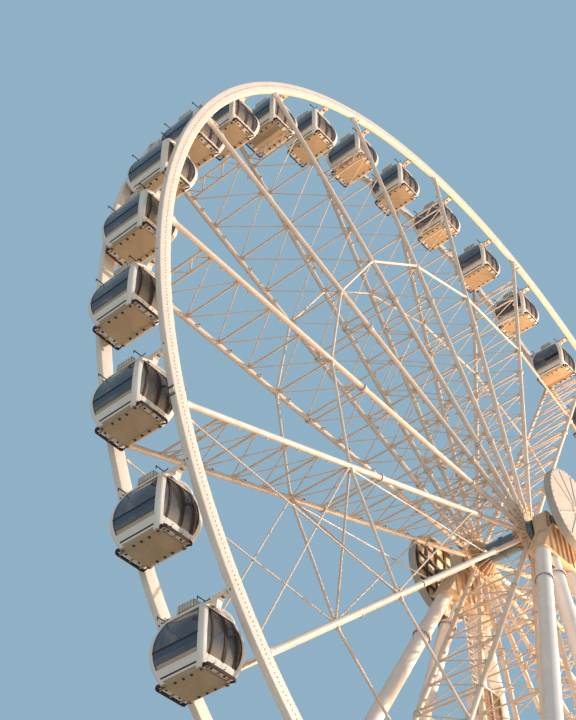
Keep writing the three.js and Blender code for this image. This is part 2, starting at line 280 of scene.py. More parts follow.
# Paint, grime, share of grime and of streaks, lowest and highest roughness, bump, metal
paints = {
    "creamPaint": ((0.80, 0.73, 0.62), (0.42, 0.31, 0.20), 0.16, 0.14, 0.34, 0.52, 0.12, 0.0),
    # The spokes and their rods use the cream paint made darker and warmer, as painted shade
    "spokeShadedPaint": ((0.74, 0.65, 0.54), (0.38, 0.27, 0.17), 0.24, 0.14, 0.36, 0.54, 0.12, 0.0),
    "rodShadedPaint": ((0.66, 0.56, 0.45), (0.40, 0.29, 0.19), 0.20, 0.12, 0.38, 0.56, 0.10, 0.0),
    "cabinPaint": ((0.78, 0.75, 0.67), (0.44, 0.36, 0.27), 0.10, 0.12, 0.22, 0.38, 0.06, 0.0),
    # Cabin undersides and post feet: their own darker brown, made more orange as painted warm light from
    # below
    "undersidePaintAndWarmth": ((0.44, 0.34, 0.21), (0.25, 0.21, 0.14), 0.40, 0.10, 0.50, 0.68, 0.20, 0.0),
    "liningPaint": ((0.46, 0.39, 0.27), (0.40, 0.28, 0.18), 0.25, 0.05, 0.50, 0.66, 0.10, 0.0),
    "unitPaint": ((0.68, 0.66, 0.60), (0.24, 0.21, 0.17), 0.30, 0.20, 0.42, 0.60, 0.12, 0.0),
    "legPaint": ((0.79, 0.775, 0.75), (0.56, 0.47, 0.38), 0.16, 0.16, 0.56, 0.74, 0.04, 0.0),
    # Heads, crowns, leg webs and hub flanges: the pale support paint turned warm tan, as painted shade lit
    # from below
    "headShadedPaint": ((0.72, 0.56, 0.38), (0.34, 0.22, 0.12), 0.30, 0.25, 0.42, 0.60, 0.16, 0.0),
    "slatePaint": ((0.120, 0.170, 0.195), (0.16, 0.16, 0.14), 0.30, 0.18, 0.36, 0.54, 0.14, 0.2),
    "discPaint": ((0.46, 0.43, 0.37), (0.26, 0.22, 0.16), 0.30, 0.25, 0.42, 0.60, 0.14, 0.1),
    "slatPaint": ((0.20, 0.14, 0.09), (0.34, 0.24, 0.15), 0.35, 0.20, 0.46, 0.64, 0.12, 0.1),
    "goldPanel": ((0.90, 0.74, 0.46), (0.46, 0.26, 0.10), 0.40, 0.25, 0.40, 0.60, 0.18, 0.1),
    "latticePaint": ((0.070, 0.045, 0.028), (0.16, 0.10, 0.06), 0.35, 0.10, 0.46, 0.64, 0.12, 0.2),
    "blackRubber": ((0.018, 0.017, 0.018), (0.07, 0.055, 0.045), 0.25, 0.10, 0.42, 0.62, 0.10, 0.0),
    "railPaint": ((0.044, 0.022, 0.013), (0.10, 0.055, 0.030), 0.25, 0.10, 0.82, 0.95, 0.10, 0.0),
    "boltSteel": ((0.10, 0.075, 0.055), (0.20, 0.12, 0.06), 0.50, 0.05, 0.38, 0.60, 0.10, 0.6),
    "seatPaint": ((0.85, 0.55, 0.42), (0.36, 0.20, 0.14), 0.25, 0.05, 0.44, 0.60, 0.10, 0.0),
    "floorPaint": ((0.62, 0.60, 0.56), (0.50, 0.47, 0.42), 0.25, 0.0, 0.70, 0.85, 0.10, 0.0),
}
# Dust, and on the door glass a painted warm reflection, lies between two heights on the cabin, with its
# greatest share last
glasses = {
    "endGlass": {
        "tint": (0.034, 0.054, 0.090), "film": (0.112, 0.110, 0.132), "alpha": (0.66, 0.82), "ior": 1.75,
        "dustAndReflection": (-0.95, -1.1, 0.15), "dustAndReflectionColour": (0.2, 0.19, 0.15),
    },
    # A darker, nearly opaque glass strip just below the bar of each end face: painted shade and reflection
    "shadowBandGlass": {
        "tint": (0.014, 0.028, 0.062), "film": (0.034, 0.050, 0.090), "alpha": (0.90, 0.96), "ior": 1.75,
        "dustAndReflection": (-0.95, -1.1, 0.1), "dustAndReflectionColour": (0.06, 0.06, 0.06),
    },
    # The door glass's golden colour towards the sill is a painted warm reflection, not dust
    "doorGlass": {
        "tint": (0.15, 0.17, 0.20), "film": (0.28, 0.29, 0.30), "alpha": (0.18, 0.34), "ior": 1.6,
        "dustAndReflection": (-0.86, -1.14, 0.75), "dustAndReflectionColour": (0.66, 0.5, 0.3),
    },
}
lens = {"dark": (0.36, 0.36, 0.34), "light": (0.52, 0.51, 0.47), "coat": 0.5}


# Tinted glass with a thin uneven film, dustier near the sill, where the door glass gets a painted warm
# reflection instead; it stays see-through by its alpha
def glassFinish(name, v):
    material, tree, shader, coords = startFinish(name)
    cloud = remap(tree, noise(tree, coords, 1.7, 3), 0.35, 0.70)
    parts = tree.nodes.new("ShaderNodeSeparateXYZ")
    tree.links.new(coords, parts.inputs[0])
    # On the door glass this mask carries a painted warm reflection
    dustAndReflection = remap(tree, parts.outputs["Z"], v["dustAndReflection"][0], v["dustAndReflection"][1], 0.0, v["dustAndReflection"][2])
    colour = blendColours(tree, dustAndReflection, blendColours(tree, cloud, v["tint"], v["film"]), v["dustAndReflectionColour"])
    tree.links.new(colour, shader.inputs["Base Color"])
    veil = calc(tree, "ADD", remap(tree, cloud, 0, 1, *v["alpha"]), calc(tree, "MULTIPLY", dustAndReflection, 0.3), True)
    tree.links.new(veil, shader.inputs["Alpha"])
    smear = remap(tree, noise(tree, stretch(tree, coords, (6, 6, 1)), 3, 3), 0.3, 0.8, 0.02, 0.10)
    tree.links.new(smear, shader.inputs["Roughness"])
    shader.inputs["IOR"].default_value = v["ior"]
    return material


def lensFinish(name, v):
    material, tree, shader, coords = startFinish(name)
    speck = remap(tree, noise(tree, coords, 60, 2), 0.3, 0.7)
    tree.links.new(blendColours(tree, speck, v["dark"], v["light"]), shader.inputs["Base Color"])
    tree.links.new(remap(tree, speck, 0, 1, 0.10, 0.30), shader.inputs["Roughness"])
    shader.inputs["Coat Weight"].default_value = v["coat"]
    return material


finish = {name: paintFinish(name, *values) for name, values in paints.items()}
finish.update({name: glassFinish(name, values) for name, values in glasses.items()})
finish["lampLens"] = lensFinish("lampLens", lens)

print("stage: mesh tools")


def axesAlong(direction, side=zAxis):
    w = Vector(direction).normalized()
    u = side - w * side.dot(w)
    if u.length < 1e-4:
        u = xAxis - w * xAxis.dot(w)
    u.normalize()
    return u, w.cross(u), w


# Cosine and sine of evenly spaced angles, from a first angle in degrees
def around(count, turn=0.0):
    angles = [math.radians(turn + 360 * i / count) for i in range(count)]
    return [(math.cos(t), math.sin(t)) for t in angles]


def about(middle, half):
    return middle - half, middle + half


def circle(centre, u, v, radius, count):
    return [centre + u * (radius * c) + v * (radius * s) for c, s in around(count)]


# The faces of a chamfered block: each corner has three points, one on each of the sides that meet there
def blockFaces():
    signs = [(sx, sy, sz) for sx in (-1, 1) for sy in (-1, 1) for sz in (-1, 1)]
    index, places = {}, {}
    for i, sign in enumerate(signs):
        for k in range(3):
            index[sign, k] = 3 * i + k
            places[3 * i + k] = Vector([sign[a] * (1.0 if a == k else 0.8) for a in range(3)])
    faces = []

    def outward(face):
        middle = sum((places[i] for i in face), Vector()) / len(face)
        normal = (places[face[1]] - places[face[0]]).cross(places[face[2]] - places[face[1]])
        faces.append(tuple(face) if normal.dot(middle) > 0 else tuple(reversed(face)))

    def corner(k, i, j, s, a, b):
        sign = [0, 0, 0]
        sign[k], sign[i], sign[j] = s, a, b
        return tuple(sign)

    for k in range(3):
        i, j = (k + 1) % 3, (k + 2) % 3
        for s in (-1, 1):
            outward([index[corner(k, i, j, s, a, b), k] for a, b in ((-1, -1), (1, -1), (1, 1), (-1, 1))])
        for a in (-1, 1):
            for b in (-1, 1):
                one, other = (corner(k, i, j, s, a, b) for s in (-1, 1))
                outward([index[one, i], index[one, j], index[other, j], index[other, i]])
    for sign in signs:
        outward([index[sign, k] for k in range(3)])
    return signs, faces


blockSigns, blockSides = blockFaces()


# Collects points in real metres, faces and the number of each face's finish, which is 1 for most bolts
class Shape:
    def __init__(self):
        self.points, self.faces, self.finishes = [], [], []

    def add(self, points, faces, paint=0):
        first = len(self.points)
        self.points += [tuple(p) for p in points]
        self.faces += [tuple(first + i for i in face) for face in faces]
        self.finishes += [paint] * len(faces)

    # Closed rings joined one to the next, with or without a cap at each end
    def skin(self, rings, paint=0, caps=(True, True)):
        count, last = len(rings[0]), len(rings) - 1
        faces = []
        for r in range(last):
            for i in range(count):
                a, b = r * count + i, r * count + (i + 1) % count
                faces.append((a, b, b + count, a + count))
        if caps[0]:
            faces.append(tuple(reversed(range(count))))
        if caps[1]:
            faces.append(tuple(range(last * count, (last + 1) * count)))
        self.add([p for ring in rings for p in ring], faces, paint)

    def tube(self, start, end, radius, count=10, paint=0, side=zAxis):
        start, end = Vector(start), Vector(end)
        u, v, _ = axesAlong(end - start, side)
        self.skin([circle(p, u, v, radius, count) for p in (start, end)], paint)

    # A round bar from a point, with stops of distance and radius
    def spindle(self, start, direction, stops, count=16, paint=0, side=zAxis, caps=(True, True)):
        start = Vector(start)
        u, v, w = axesAlong(direction, side)
        self.skin([circle(start + w * along, u, v, radius, count) for along, radius in stops], paint, caps)

    # A ring turned about an axis; the profile is closed and has radius and distance
    def turned(self, centre, axis, profile, count, paint=0, side=zAxis):
        u, v, w = axesAlong(axis, side)
        centre = Vector(centre)
        rings = [circle(centre + w * along, u, v, radius, count) for radius, along in [*profile, profile[0]]]
        self.skin(rings, paint, (False, False))

    def wire(self, points, radius, count=6, paint=0, side=zAxis, flat=1.0):
        points = [Vector(p) for p in points]
        rings = []
        for i, p in enumerate(points):
            u, v, _ = axesAlong(points[min(i + 1, len(points) - 1)] - points[max(i - 1, 0)], side)
            rings.append([
                p + u * (radius * flat * c) + v * (radius * s) for c, s in around(count, 180 / count)
            ])
        self.skin(rings, paint)

    # A chamfered block over a range along each axis
    def block(self, xs, ys, zs, chamfer=0.01, paint=0, turn=None):
        low, high = (Vector([pick(r) for r in (xs, ys, zs)]) for pick in (min, max))
        middle, half = (low + high) / 2, (high - low) / 2
        cut = min(chamfer, 0.45 * min(half))
        points = [
            middle + Vector([sign[a] * (half[a] - (0 if a == k else cut)) for a in range(3)])
            for sign in blockSigns for k in range(3)
        ]
        if turn is not None:
            points = [turn @ p for p in points]
        self.add(points, blockSides, paint)

    # A flat plate from an outline given along u and v
    def plate(self, outline, origin, u, v, thickness, paint=0):
        origin, u, v = Vector(origin), Vector(u).normalized(), Vector(v).normalized()
        half = u.cross(v).normalized() * (thickness / 2)
        ring = [origin + u * a + v * b for a, b in outline]
        self.skin([[p - half for p in ring], [p + half for p in ring]], paint)

    # A tube with a sleeve at each end
    def sleeved(self, start, end, radius, sleeve, count, paint, side, caps=(True, True)):
        way = (end - start).normalized()
        self.tube(start, end, radius, count, paint, side)
        for root, inward in ((start, way), (end, -way)):
            self.spindle(root, inward, sleeve, count, paint, side, caps)

    # A hexagon head without its washer, and with it
    def rivet(self, centre, normal, radius, height, paint=1):
        head = [(0, radius), (height * 0.8, radius), (height, radius * 0.8)]
        self.spindle(centre, normal, head, 6, paint, zAxis, (False, True))

    def bolt(self, centre, normal, radius, height, paint=1):
        washer = [(0, radius * 1.45), (height * 0.25, radius * 1.4)]
        self.spindle(centre, normal, washer, 8, paint, zAxis, (False, True))
        self.rivet(centre, normal, radius, height, paint)

    # Bolts in a ring, which has its radius, then their count, radius and height
    def boltCircle(self, centre, normal, ring, turn=0.0, u=xAxis, v=zAxis, washers=False):
        reach, count, radius, height = ring
        put = self.bolt if washers else self.rivet
        for c, s in around(count, turn):
            put(Vector(centre) + u * (reach * c) + v * (reach * s), normal, radius, height)

    def stamp(self, other, matrix):
        first = len(self.points)
        self.points += [tuple(matrix @ Vector(p)) for p in other.points]
        self.faces += [tuple(first + i for i in face) for face in other.faces]
        self.finishes += other.finishes


def meshFrom(name, shape, finishes, origin=(0, 0, 0), smoothAngle=35):
    mesh = bpy.data.meshes.new(name)
    x, y, z = origin
    s = modelScale
    mesh.from_pydata([(x + s * a, y + s * b, z + s * c) for a, b, c in shape.points], [], shape.faces)
    for paint in finishes:
        mesh.materials.append(finish[paint])
    mesh.polygons.foreach_set("material_index", shape.finishes)
    mesh.shade_smooth()
    mesh.set_sharp_from_angle(angle=math.radians(smoothAngle))
    mesh.update()
    return mesh


def place(name, mesh, body, replaces=(), location=(0, 0, 0)):
    piece = bpy.data.objects.new(name, mesh)
    piece.location = location
    bpy.context.scene.collection.objects.link(piece)
    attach(piece, body)
    if replaces:
        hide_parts(*replaces)
    return piece


def makePiece(name, shape, finishes, body, replaces=()):
    return place(name, meshFrom(name, shape, finishes, hubCentre), body, replaces)


# A point on the wheel, by degrees, radius and distance along the axle
def onWheel(angle, radius, y):
    turn = math.radians(angle)
    return Vector((radius * math.cos(turn), y, radius * math.sin(turn)))


def radial(angle):
    return onWheel(angle, 1, 0)


def tangent(angle):
    return onWheel(angle + 90, 1, 0)


# The closed profile of a flange for Shape.turned, with its outer edges eased along and across the axis
def flangeProfile(outer, inner, low, high, along, across):
    top = [(outer, low + along), (outer, high - along), (outer - across, high), (inner, high)]
    return [*top, (inner, low), (outer - across, low)]


def roundedBox(low, high, corner, steps):
    points = []
    for sx, sy, start in ((1, 1, 0), (-1, 1, 90), (-1, -1, 180), (1, -1, 270)):
        cx = (high[0] if sx > 0 else low[0]) - sx * corner
        cy = (high[1] if sy > 0 else low[1]) - sy * corner
        for i in range(steps + 1):
            t = math.radians(start + 90 * i / steps)
            points.append((cx + corner * math.cos(t), cy + corner * math.sin(t)))
    return points


print("stage: rims")

spokeCount = 18
spokeStep = 360 / spokeCount
chordY = 1.42
cabinCount = 36
rimSize = {
    "inner": 23.455, "outer": 24.0, "insideFace": 1.309, "outsideFace": 1.558,
    "corner": 0.045, "cornerSteps": 4, "segments": 216, "middle": 23.727, "axles": 23.7,
}


def makeRim(side):
    r, shape = rimSize, Shape()
    low, high = sorted((side * r["insideFace"], side * r["outsideFace"]))
    section = roundedBox((r["inner"], low), (r["outer"], high), r["corner"], r["cornerSteps"])
    shape.turned((0, 0, 0), yAxis, section, r["segments"], 0, xAxis)
    return shape


rimLamps = {
    "pitch": 0.143, "zigzag": 0.014, "radius": 0.032, "height": 0.014, "sides": 6,
    "bezel": ((1.25, 0.0), (1.25, 0.45), (1.0, 0.55)), "dome": ((1.0, 0.55), (0.75, 0.85), (0.35, 1.0)),
}


def lampTemplate(v):
    shape = Shape()
    for paint, part in enumerate(("bezel", "dome")):
        stops = [(h * v["height"], k * v["radius"]) for k, h in v[part]]
        shape.spindle((0, 0, 0), zAxis, stops, v["sides"], paint, xAxis, (False, part == "dome"))
    return shape


def makeRimLamps(side):
    template, shape = lampTemplate(rimLamps), Shape()
    count = round(2 * math.pi * rimSize["middle"] / rimLamps["pitch"])
    for i in range(count):
        angle = 360 * (i + 0.5) / count
        radius = rimSize["middle"] + rimLamps["zigzag"] * (1 if i % 2 else -1)
        spot = onWheel(angle, radius, side * rimSize["outsideFace"])
        shape.stamp(template, frameAt(*axesAlong(yAxis * side, radial(angle)), spot))
    return shape


rimJoint = {
    "every": 2, "shift": -0.7, "length": 0.34, "thick": 0.022, "seam": 0.045, "bolt": 0.016,
    "columns": (-0.09, 0.09), "faceRows": (-0.07, 0.0, 0.07), "sideRows": (-0.17, -0.06, 0.06, 0.17),
    "socket": ((0, 0.150), (0.02, 0.145), (0.10, 0.122), (0.24, 0.113)), "plug": 0.030,
    "seat": ((0, 0.17), (0.05, 0.17), (0.06, 0.16)), "collar": ((0, 0.12), (0.05, 0.12), (0.07, 0.10)),
}


# Splices at every second spoke, the sockets that the chords end in, and the seats of the cabins' axles
def makeRimJoints(side):
    j, r, shape = rimJoint, rimSize, Shape()
    middleY = side * (r["insideFace"] + r["outsideFace"]) / 2
    deep, tall = (r["outsideFace"] - r["insideFace"]) / 2, (r["outer"] - r["inner"]) / 2
    half, thick = j["length"] / 2, j["thick"]
    inward = yAxis * -side
    for k in range(0, spokeCount, j["every"]):
        angle = k * spokeStep + j["shift"]
        out = radial(angle)
        turn = frameAt(-tangent(angle), yAxis, out, onWheel(angle, r["middle"], middleY))
        for sign in (1, -1):  # dark straps across the outward and the inward face, a pale plate between
            strap = (sign * (tall - 0.01), sign * (tall + 0.012))
            for end in (1, -1):
                ends = (end * half, end * (half - j["seam"]))
                shape.block(ends, about(0, deep - 0.004), strap, 0.003, 1, turn)
            cover = (sign * tall, sign * (tall + thick))
            shape.block(about(0, half - 0.07), about(0, deep - 0.02), cover, 0.006, 0, turn)
            for a in j["columns"]:
                for b in j["faceRows"]:
                    shape.bolt(turn @ Vector((a, b, cover[1])), out * sign, j["bolt"], 0.02)
        cover = (-side * deep, -side * (deep + thick * 0.7))  # the face towards the cabins
        shape.block(about(0, half - 0.03), cover, about(0, tall - 0.05), 0.005, 0, turn)
        for a in j["columns"]:
            for b in j["sideRows"]:
                shape.bolt(turn @ Vector((a, cover[1], b)), inward, j["bolt"] * 0.8, 0.016)
    for k in range(spokeCount):
        out = radial(k * spokeStep)
        root = onWheel(k * spokeStep, r["inner"], side * chordY)
        shape.spindle(root + out * 0.01, -out, j["socket"], 20, 0, yAxis)
    plug = [(0, j["plug"]), (0.012, j["plug"]), (0.02, j["plug"] * 0.7)]
    for k in range(cabinCount):
        angle = (k + 0.5) * 360 / cabinCount
        seat = onWheel(angle, r["axles"], side * r["insideFace"])
        shape.spindle(onWheel(angle, r["outer"] - 0.004, middleY), radial(angle), plug, 12, 1, yAxis)
        shape.spindle(seat - inward * 0.02, inward, j["seat"], 20)
        shape.spindle(seat + inward * 0.03, inward, j["collar"], 20, 1)
    return shape


for word, side in sides.items():
    makePiece(f"{word}_rim_box", makeRim(side), ["creamPaint"], "wheel", (f"{word}_rim",))
    makePiece(f"{word}_rim_lamps", makeRimLamps(side), ["unitPaint", "lampLens"], "wheel")
    makePiece(f"{word}_rim_joints", makeRimJoints(side), ["creamPaint", "boltSteel"], "wheel")

print("stage: spokes")

spokeSize = {
    "chord": 0.110, "chordSides": 20, "hubEnd": 1.25, "rimEnd": 23.46, "rod": 0.024,
    "strut": 0.045, "strutSleeve": ((0, 0.062), (0.05, 0.062), (0.10, 0.045)),
    "struts": (21.69, 21.216, 19.728, 17.952, 16.2, 14.4, 12.54, 12.18, 10.512, 8.784, 7.032, 5.184, 3.408),
    "lastPoint": 1.75, "shortest": 0.7, "bracketDrop": 0.62, "zigzag": 5,
    "splices": (12.36, 4.74), "strutInset": 0.09, "rodInset": (0.06, 0.16), "bracketInset": 0.10,
    "gussetAt": 0.08, "gussetThick": 0.022, "gussetRivet": (0.155, 0.018),
    "gusset": ((0.0, -0.13), (0.09, -0.11), (0.13, -0.04), (0.13, 0.04), (0.09, 0.11), (0.0, 0.13)),
    "bracket": ((0, -0.07), (0.08, -0.06), (0.08, 0.06), (0, 0.07)),
}


spliceSize = {
    "gap": 0.004, "disc": ((0, 0.165), (0.035, 0.165), (0.04, 0.155)),
    "neckAt": 0.038, "neck": ((0, 0.135), (0.16, 0.112)),
    "boltsAt": 0.039, "bolts": (0.142, 10, 0.017, 0.034),
}


def addSplice(shape, angle, radius, y):
    s, out = spliceSize, radial(angle)
    for sign in (1, -1):
        start = onWheel(angle, radius + sign * s["gap"], y)
        shape.spindle(start, out * sign, s["disc"], 20, 0, yAxis)
        shape.spindle(start + out * sign * s["neckAt"], out * sign, s["neck"], 20, 0, yAxis)
        spot = onWheel(angle, radius + sign * s["boltsAt"], y)
        shape.boltCircle(spot, out * sign, s["bolts"], 0.0, tangent(angle), yAxis)


# A fork with a cross pin at the end of a rod
def addFork(shape, end, direction, radius, length):
    direction = direction.normalized()
    _, v, _ = axesAlong(direction, yAxis)
    stops = [(0, radius * 1.9), (length * 0.5, radius * 1.9), (length, radius)]
    shape.spindle(end, direction, stops, 8, 0, yAxis)
    for sign in (1, -1):
        spot = end + direction * (length * 0.22) + v * sign * radius * 1.8
        shape.rivet(spot, v * sign, radius * 0.95, radius)


# The small welded gusset where struts and crossed rods meet a chord
def addPanelPoint(shape, angle, radius, side):
    s, along, inward = spokeSize, tangent(angle), yAxis * -side
    node, thick = onWheel(angle, radius, side * chordY), s["gussetThick"]
    shape.plate(s["gusset"], node + inward * s["gussetAt"], inward, radial(angle), thick, 2)
    reach, size = s["gussetRivet"]
    for sign in (1, -1):
        shape.rivet(node + inward * reach + along * (sign * thick / 2), along * sign, size, size)


# A small lamp bracket on the inner face of a chord
def addBracket(shape, angle, radius, side):
    inward = yAxis * -side
    root = onWheel(angle, radius, side * (chordY - spokeSize["bracketInset"]))
    shape.plate(spokeSize["bracket"], root, inward, radial(angle), 0.11)
    shape.rivet(root + inward * 0.08, inward, 0.034, 0.03)


# Crossed rods with sleeves at their ends, in every panel but the one next to the rim, where the cabins pass
def addCrossedRods(shape, angle):
    s = spokeSize
    aside = tangent(angle) * s["rod"] * 1.1
    sleeve = [(0, s["rod"] * 1.9), (0.10, s["rod"] * 1.9), (0.16, s["rod"])]
    points = [*s["struts"], s["lastPoint"]]
    gap, inset = s["rodInset"]
    reach = chordY - inset
    for outer, inner in zip(points, points[1:]):
        if outer - inner < s["shortest"]:
            continue
        for sign in (1, -1):
            start = onWheel(angle, outer - gap, sign * reach) + aside * sign
            end = onWheel(angle, inner + gap, -sign * reach) + aside * sign
            shape.sleeved(start, end, s["rod"], sleeve, 6, 2, yAxis, (True, False))
            addBracket(shape, angle, outer - s["bracketDrop"], sign)


def makeSpoke(shape, angle):
    s = spokeSize
    span = chordY - s["strutInset"]
    for side in (-1, 1):
        ends = [onWheel(angle, s[end], side * chordY) for end in ("hubEnd", "rimEnd")]
        shape.tube(*ends, s["chord"], s["chordSides"], 0, yAxis)
        for radius in s["splices"]:
            addSplice(shape, angle, radius, side * chordY)
        for radius in s["struts"]:
            addPanelPoint(shape, angle, radius, side)
    for radius in s["struts"]:
        start, end = onWheel(angle, radius, -span), onWheel(angle, radius, span)
        shape.sleeved(start, end, s["strut"], s["strutSleeve"], 12, 2, radial(angle))
    addCrossedRods(shape, angle)
    steps = s["zigzag"]
    corners = [
        onWheel(angle, s["struts"][(i + 1) % 2], -span + 2 * span * i / steps) for i in range(steps + 1)
    ]
    for start, end in zip(corners, corners[1:]):  # a zigzag between the two outermost struts
        shape.tube(start, end, s["rod"] * 1.2, 8, 2, radial(angle))


for sector in range(3):
    spokes = Shape()
    for spoke in range(6):
        makeSpoke(spokes, (sector * 6 + spoke) * spokeStep)
    makePiece(
        f"spokes_{sector + 1}", spokes, ["spokeShadedPaint", "boltSteel", "rodShadedPaint"], "wheel",
        (f"spoke_sector_{sector + 1}",),
    )

ringSize = {
    "radius": 14.4, "bar": 0.057, "inset": 0.13, "rimRod": 23.40, "rimShift": 0.62, "hubRod": 5.62,
    "hubShift": 0.12, "tie": 0.032, "fork": 0.20, "braced": (1, 10), "corner": 0.12,
    "cross": 0.045, "crossSleeve": ((0, 0.07), (0.10, 0.07), (0.20, 0.045)),
    "flange": ((0, 0.095), (0.025, 0.095)), "neck": ((0, 0.095), (0.025, 0.095), (0.12, 0.058)),
    "neckAt": 0.028, "boltsAt": 0.055, "bolts": (0.08, 6, 0.011, 0.016),
    "lug": ((-0.20, -0.02), (0.20, -0.02), (0.16, 0.10), (0.05, 0.14), (-0.05, 0.14), (-0.16, 0.10)),
    "lugAt": 0.05, "lugThick": 0.03,
}


# The ring of bars at mid-radius
def makeRing():
    r, shape = ringSize, Shape()
    for k in range(spokeCount):
        for side in (-1, 1):
            start, end = (onWheel(n * spokeStep, r["radius"], side * chordY) for n in (k, k + 1))
            along = (end - start).normalized()
            start, end = start + along * r["inset"], end - along * r["inset"]
            shape.tube(start, end, r["bar"], 14, 0, yAxis)
            for root, way in ((start, along), (end, -along)):
                u, v, _ = axesAlong(way, yAxis)
                shape.spindle(root, way, r["flange"], 14, 0, yAxis)
                shape.spindle(root + way * r["neckAt"], way, r["neck"], 14, 0, yAxis)
                shape.boltCircle(root + way * r["boltsAt"], way, r["bolts"], 0.0, u, v)
    return shape


def addRod(shape, start, end, radius, fork):
    shape.tube(start, end, radius, 8, 0, yAxis)
    addFork(shape, start, end - start, radius, fork)
    addFork(shape, end, start - end, radius, fork)


# The braced gaps: crossed bars from one ring to the other, and in the plane of each rim crossed rods
# from the ring's corners out to the rim and in to the hub
def makeTies(side):
    r, shape = ringSize, Shape()
    y, off = side * chordY, r["corner"]
    for gap in r["braced"]:
        for angle, hand in ((gap * spokeStep, 1), ((gap + 1) * spokeStep, -1)):
            other = angle + hand * spokeStep
            lift = yAxis * (hand * r["tie"] * 1.1)
            corner = onWheel(angle, r["radius"], y) + tangent(angle) * hand * off
            rimEnd = onWheel(other, r["rimRod"], y) - tangent(other) * hand * r["rimShift"]
            hubEnd = onWheel(other, r["hubRod"], y) - tangent(other) * hand * r["hubShift"]
            for end, sign in ((rimEnd, 1), (hubEnd, -1)):
                start = corner + radial(angle) * (off * sign)
                addRod(shape, start + lift, end + lift, r["tie"], r["fork"])
            for spot, where, way in ((corner, angle, hand), (hubEnd, other, -hand)):
                over = tangent(where) * way
                shape.plate(r["lug"], spot - over * r["lugAt"], radial(where), over, r["lugThick"])
        middle = radial((gap + 0.5) * spokeStep)
        start = onWheel(gap * spokeStep, r["radius"], y)
        end = onWheel((gap + 1) * spokeStep, r["radius"], -y)
        along = (end - start).normalized()
        shape.tube(start + along * off, end - along * off, r["cross"], 12, 0, middle)
        for root, way in ((start, along), (end, -along)):
            shape.spindle(root + way * 0.10, way, r["crossSleeve"], 12, 0, middle)
    return shape


makePiece("ring_bars", makeRing(), ["spokeShadedPaint", "boltSteel"], "wheel")
for word, side in sides.items():
    makePiece(f"{word}_tie_rods", makeTies(side), ["rodShadedPaint", "boltSteel"], "wheel")

print("stage: hub")

hubSize = {
    "drum": 0.46, "drumHalf": 1.31, "sides": 48, "bands": (-1.0, -0.05, 0.9),
    "band": ((0.52, 0.0), (0.52, 0.1), (0.44, 0.1), (0.44, 0.0)), "bandBolts": (0.495, 16, 0.018, 0.02),
    "flange": ((1.28, -0.11), (1.3, -0.09), (1.3, 0.09), (1.28, 0.11), (0.40, 0.11), (0.40, -0.11)),
    "boss": (0.60, 0.27, 0.11, 0.34), "bossBolts": (0.50, 20, 0.022, 0.03), "edge": 1.3,
    "lug": (
        (-0.42, -0.13), (0.10, -0.11), (0.30, -0.07), (0.36, 0), (0.30, 0.07), (0.10, 0.11), (-0.42, 0.13),
    ),
    "lugBolts": (-0.28, -0.08, 0.16), "lugAt": 0.125, "lugFace": 0.14,
    "gusset": ((0, 0), (0.55, 0), (0, 0.62)), "gussetAt": (0.45, 0.10),
}


def makeHub():
    h, shape = hubSize, Shape()
    drum = [(0, h["drum"]), (2 * h["drumHalf"], h["drum"])]
    shape.spindle((0, -h["drumHalf"], 0), yAxis, drum, h["sides"], 0, zAxis, (False, False))
    for y in h["bands"]:
        shape.turned((0, y, 0), yAxis, h["band"], h["sides"])
        shape.boltCircle((0, y + 0.1, 0), yAxis, h["bandBolts"])
    outside, inside, low, high = h["boss"]
    gussetRadius, gussetShift = h["gussetAt"]
    for side in (-1, 1):
        y = side * chordY
        a, b = sorted((side * low, side * high))
        shape.turned((0, y, 0), yAxis, h["flange"], 72, 2)
        shape.turned((0, y, 0), yAxis, [(outside, a), (outside, b), (inside, b), (inside, a)], 40)
        shape.boltCircle((0, y + side * high, 0), yAxis * side, h["bossBolts"], 9, washers=True)
        for k in range(spokeCount):
            angle = k * spokeStep
            out, along = radial(angle), tangent(angle)
            root = onWheel(angle, h["edge"], y)
            for sign in (1, -1):
                shape.plate(h["lug"], root + yAxis * sign * h["lugAt"], out, along, 0.03, 2)
                for a in h["lugBolts"]:
                    shape.bolt(root + yAxis * sign * h["lugFace"] + out * a, yAxis * sign, 0.024, 0.03)
            spot = onWheel(angle, gussetRadius, y - side * gussetShift)
            shape.plate(h["gusset"], spot, out, yAxis * -side, 0.03, 2)
    return shape


makePiece(
    "hub_body", makeHub(), ["slatePaint", "boltSteel", "headShadedPaint"], "wheel", ("hub_drum",),
)

print("stage: cabins")

cabinSize = {
    "xApex": 0.93, "xBend": 2.0, "yApex": 1.08, "yBend": 2.07, "waist": -1.605,
    "postBottom": -2.64, "postTop": -0.54, "postSteps": 20, "postWidth": 0.19, "corner": 0.10,
    "cornerSteps": 6, "wall": 0.055, "foot": ((-2.63, 0.0), (-2.665, 0.012), (-2.685, 0.04)),
    "slabStep": 0.15, "lap": 0.01,
}


# The cabin bulges: its half width and its half depth at a height
def bulge(apex, bend, z):
    return apex - (bend - math.sqrt(bend ** 2 - (z - cabinSize["waist"]) ** 2))


def halfX(z):
    return bulge(cabinSize["xApex"], cabinSize["xBend"], z)


def halfY(z):
    return bulge(cabinSize["yApex"], cabinSize["yBend"], z)


def levelsBetween(low, high, steps):
    return [low + (high - low) * i / steps for i in range(steps + 1)]


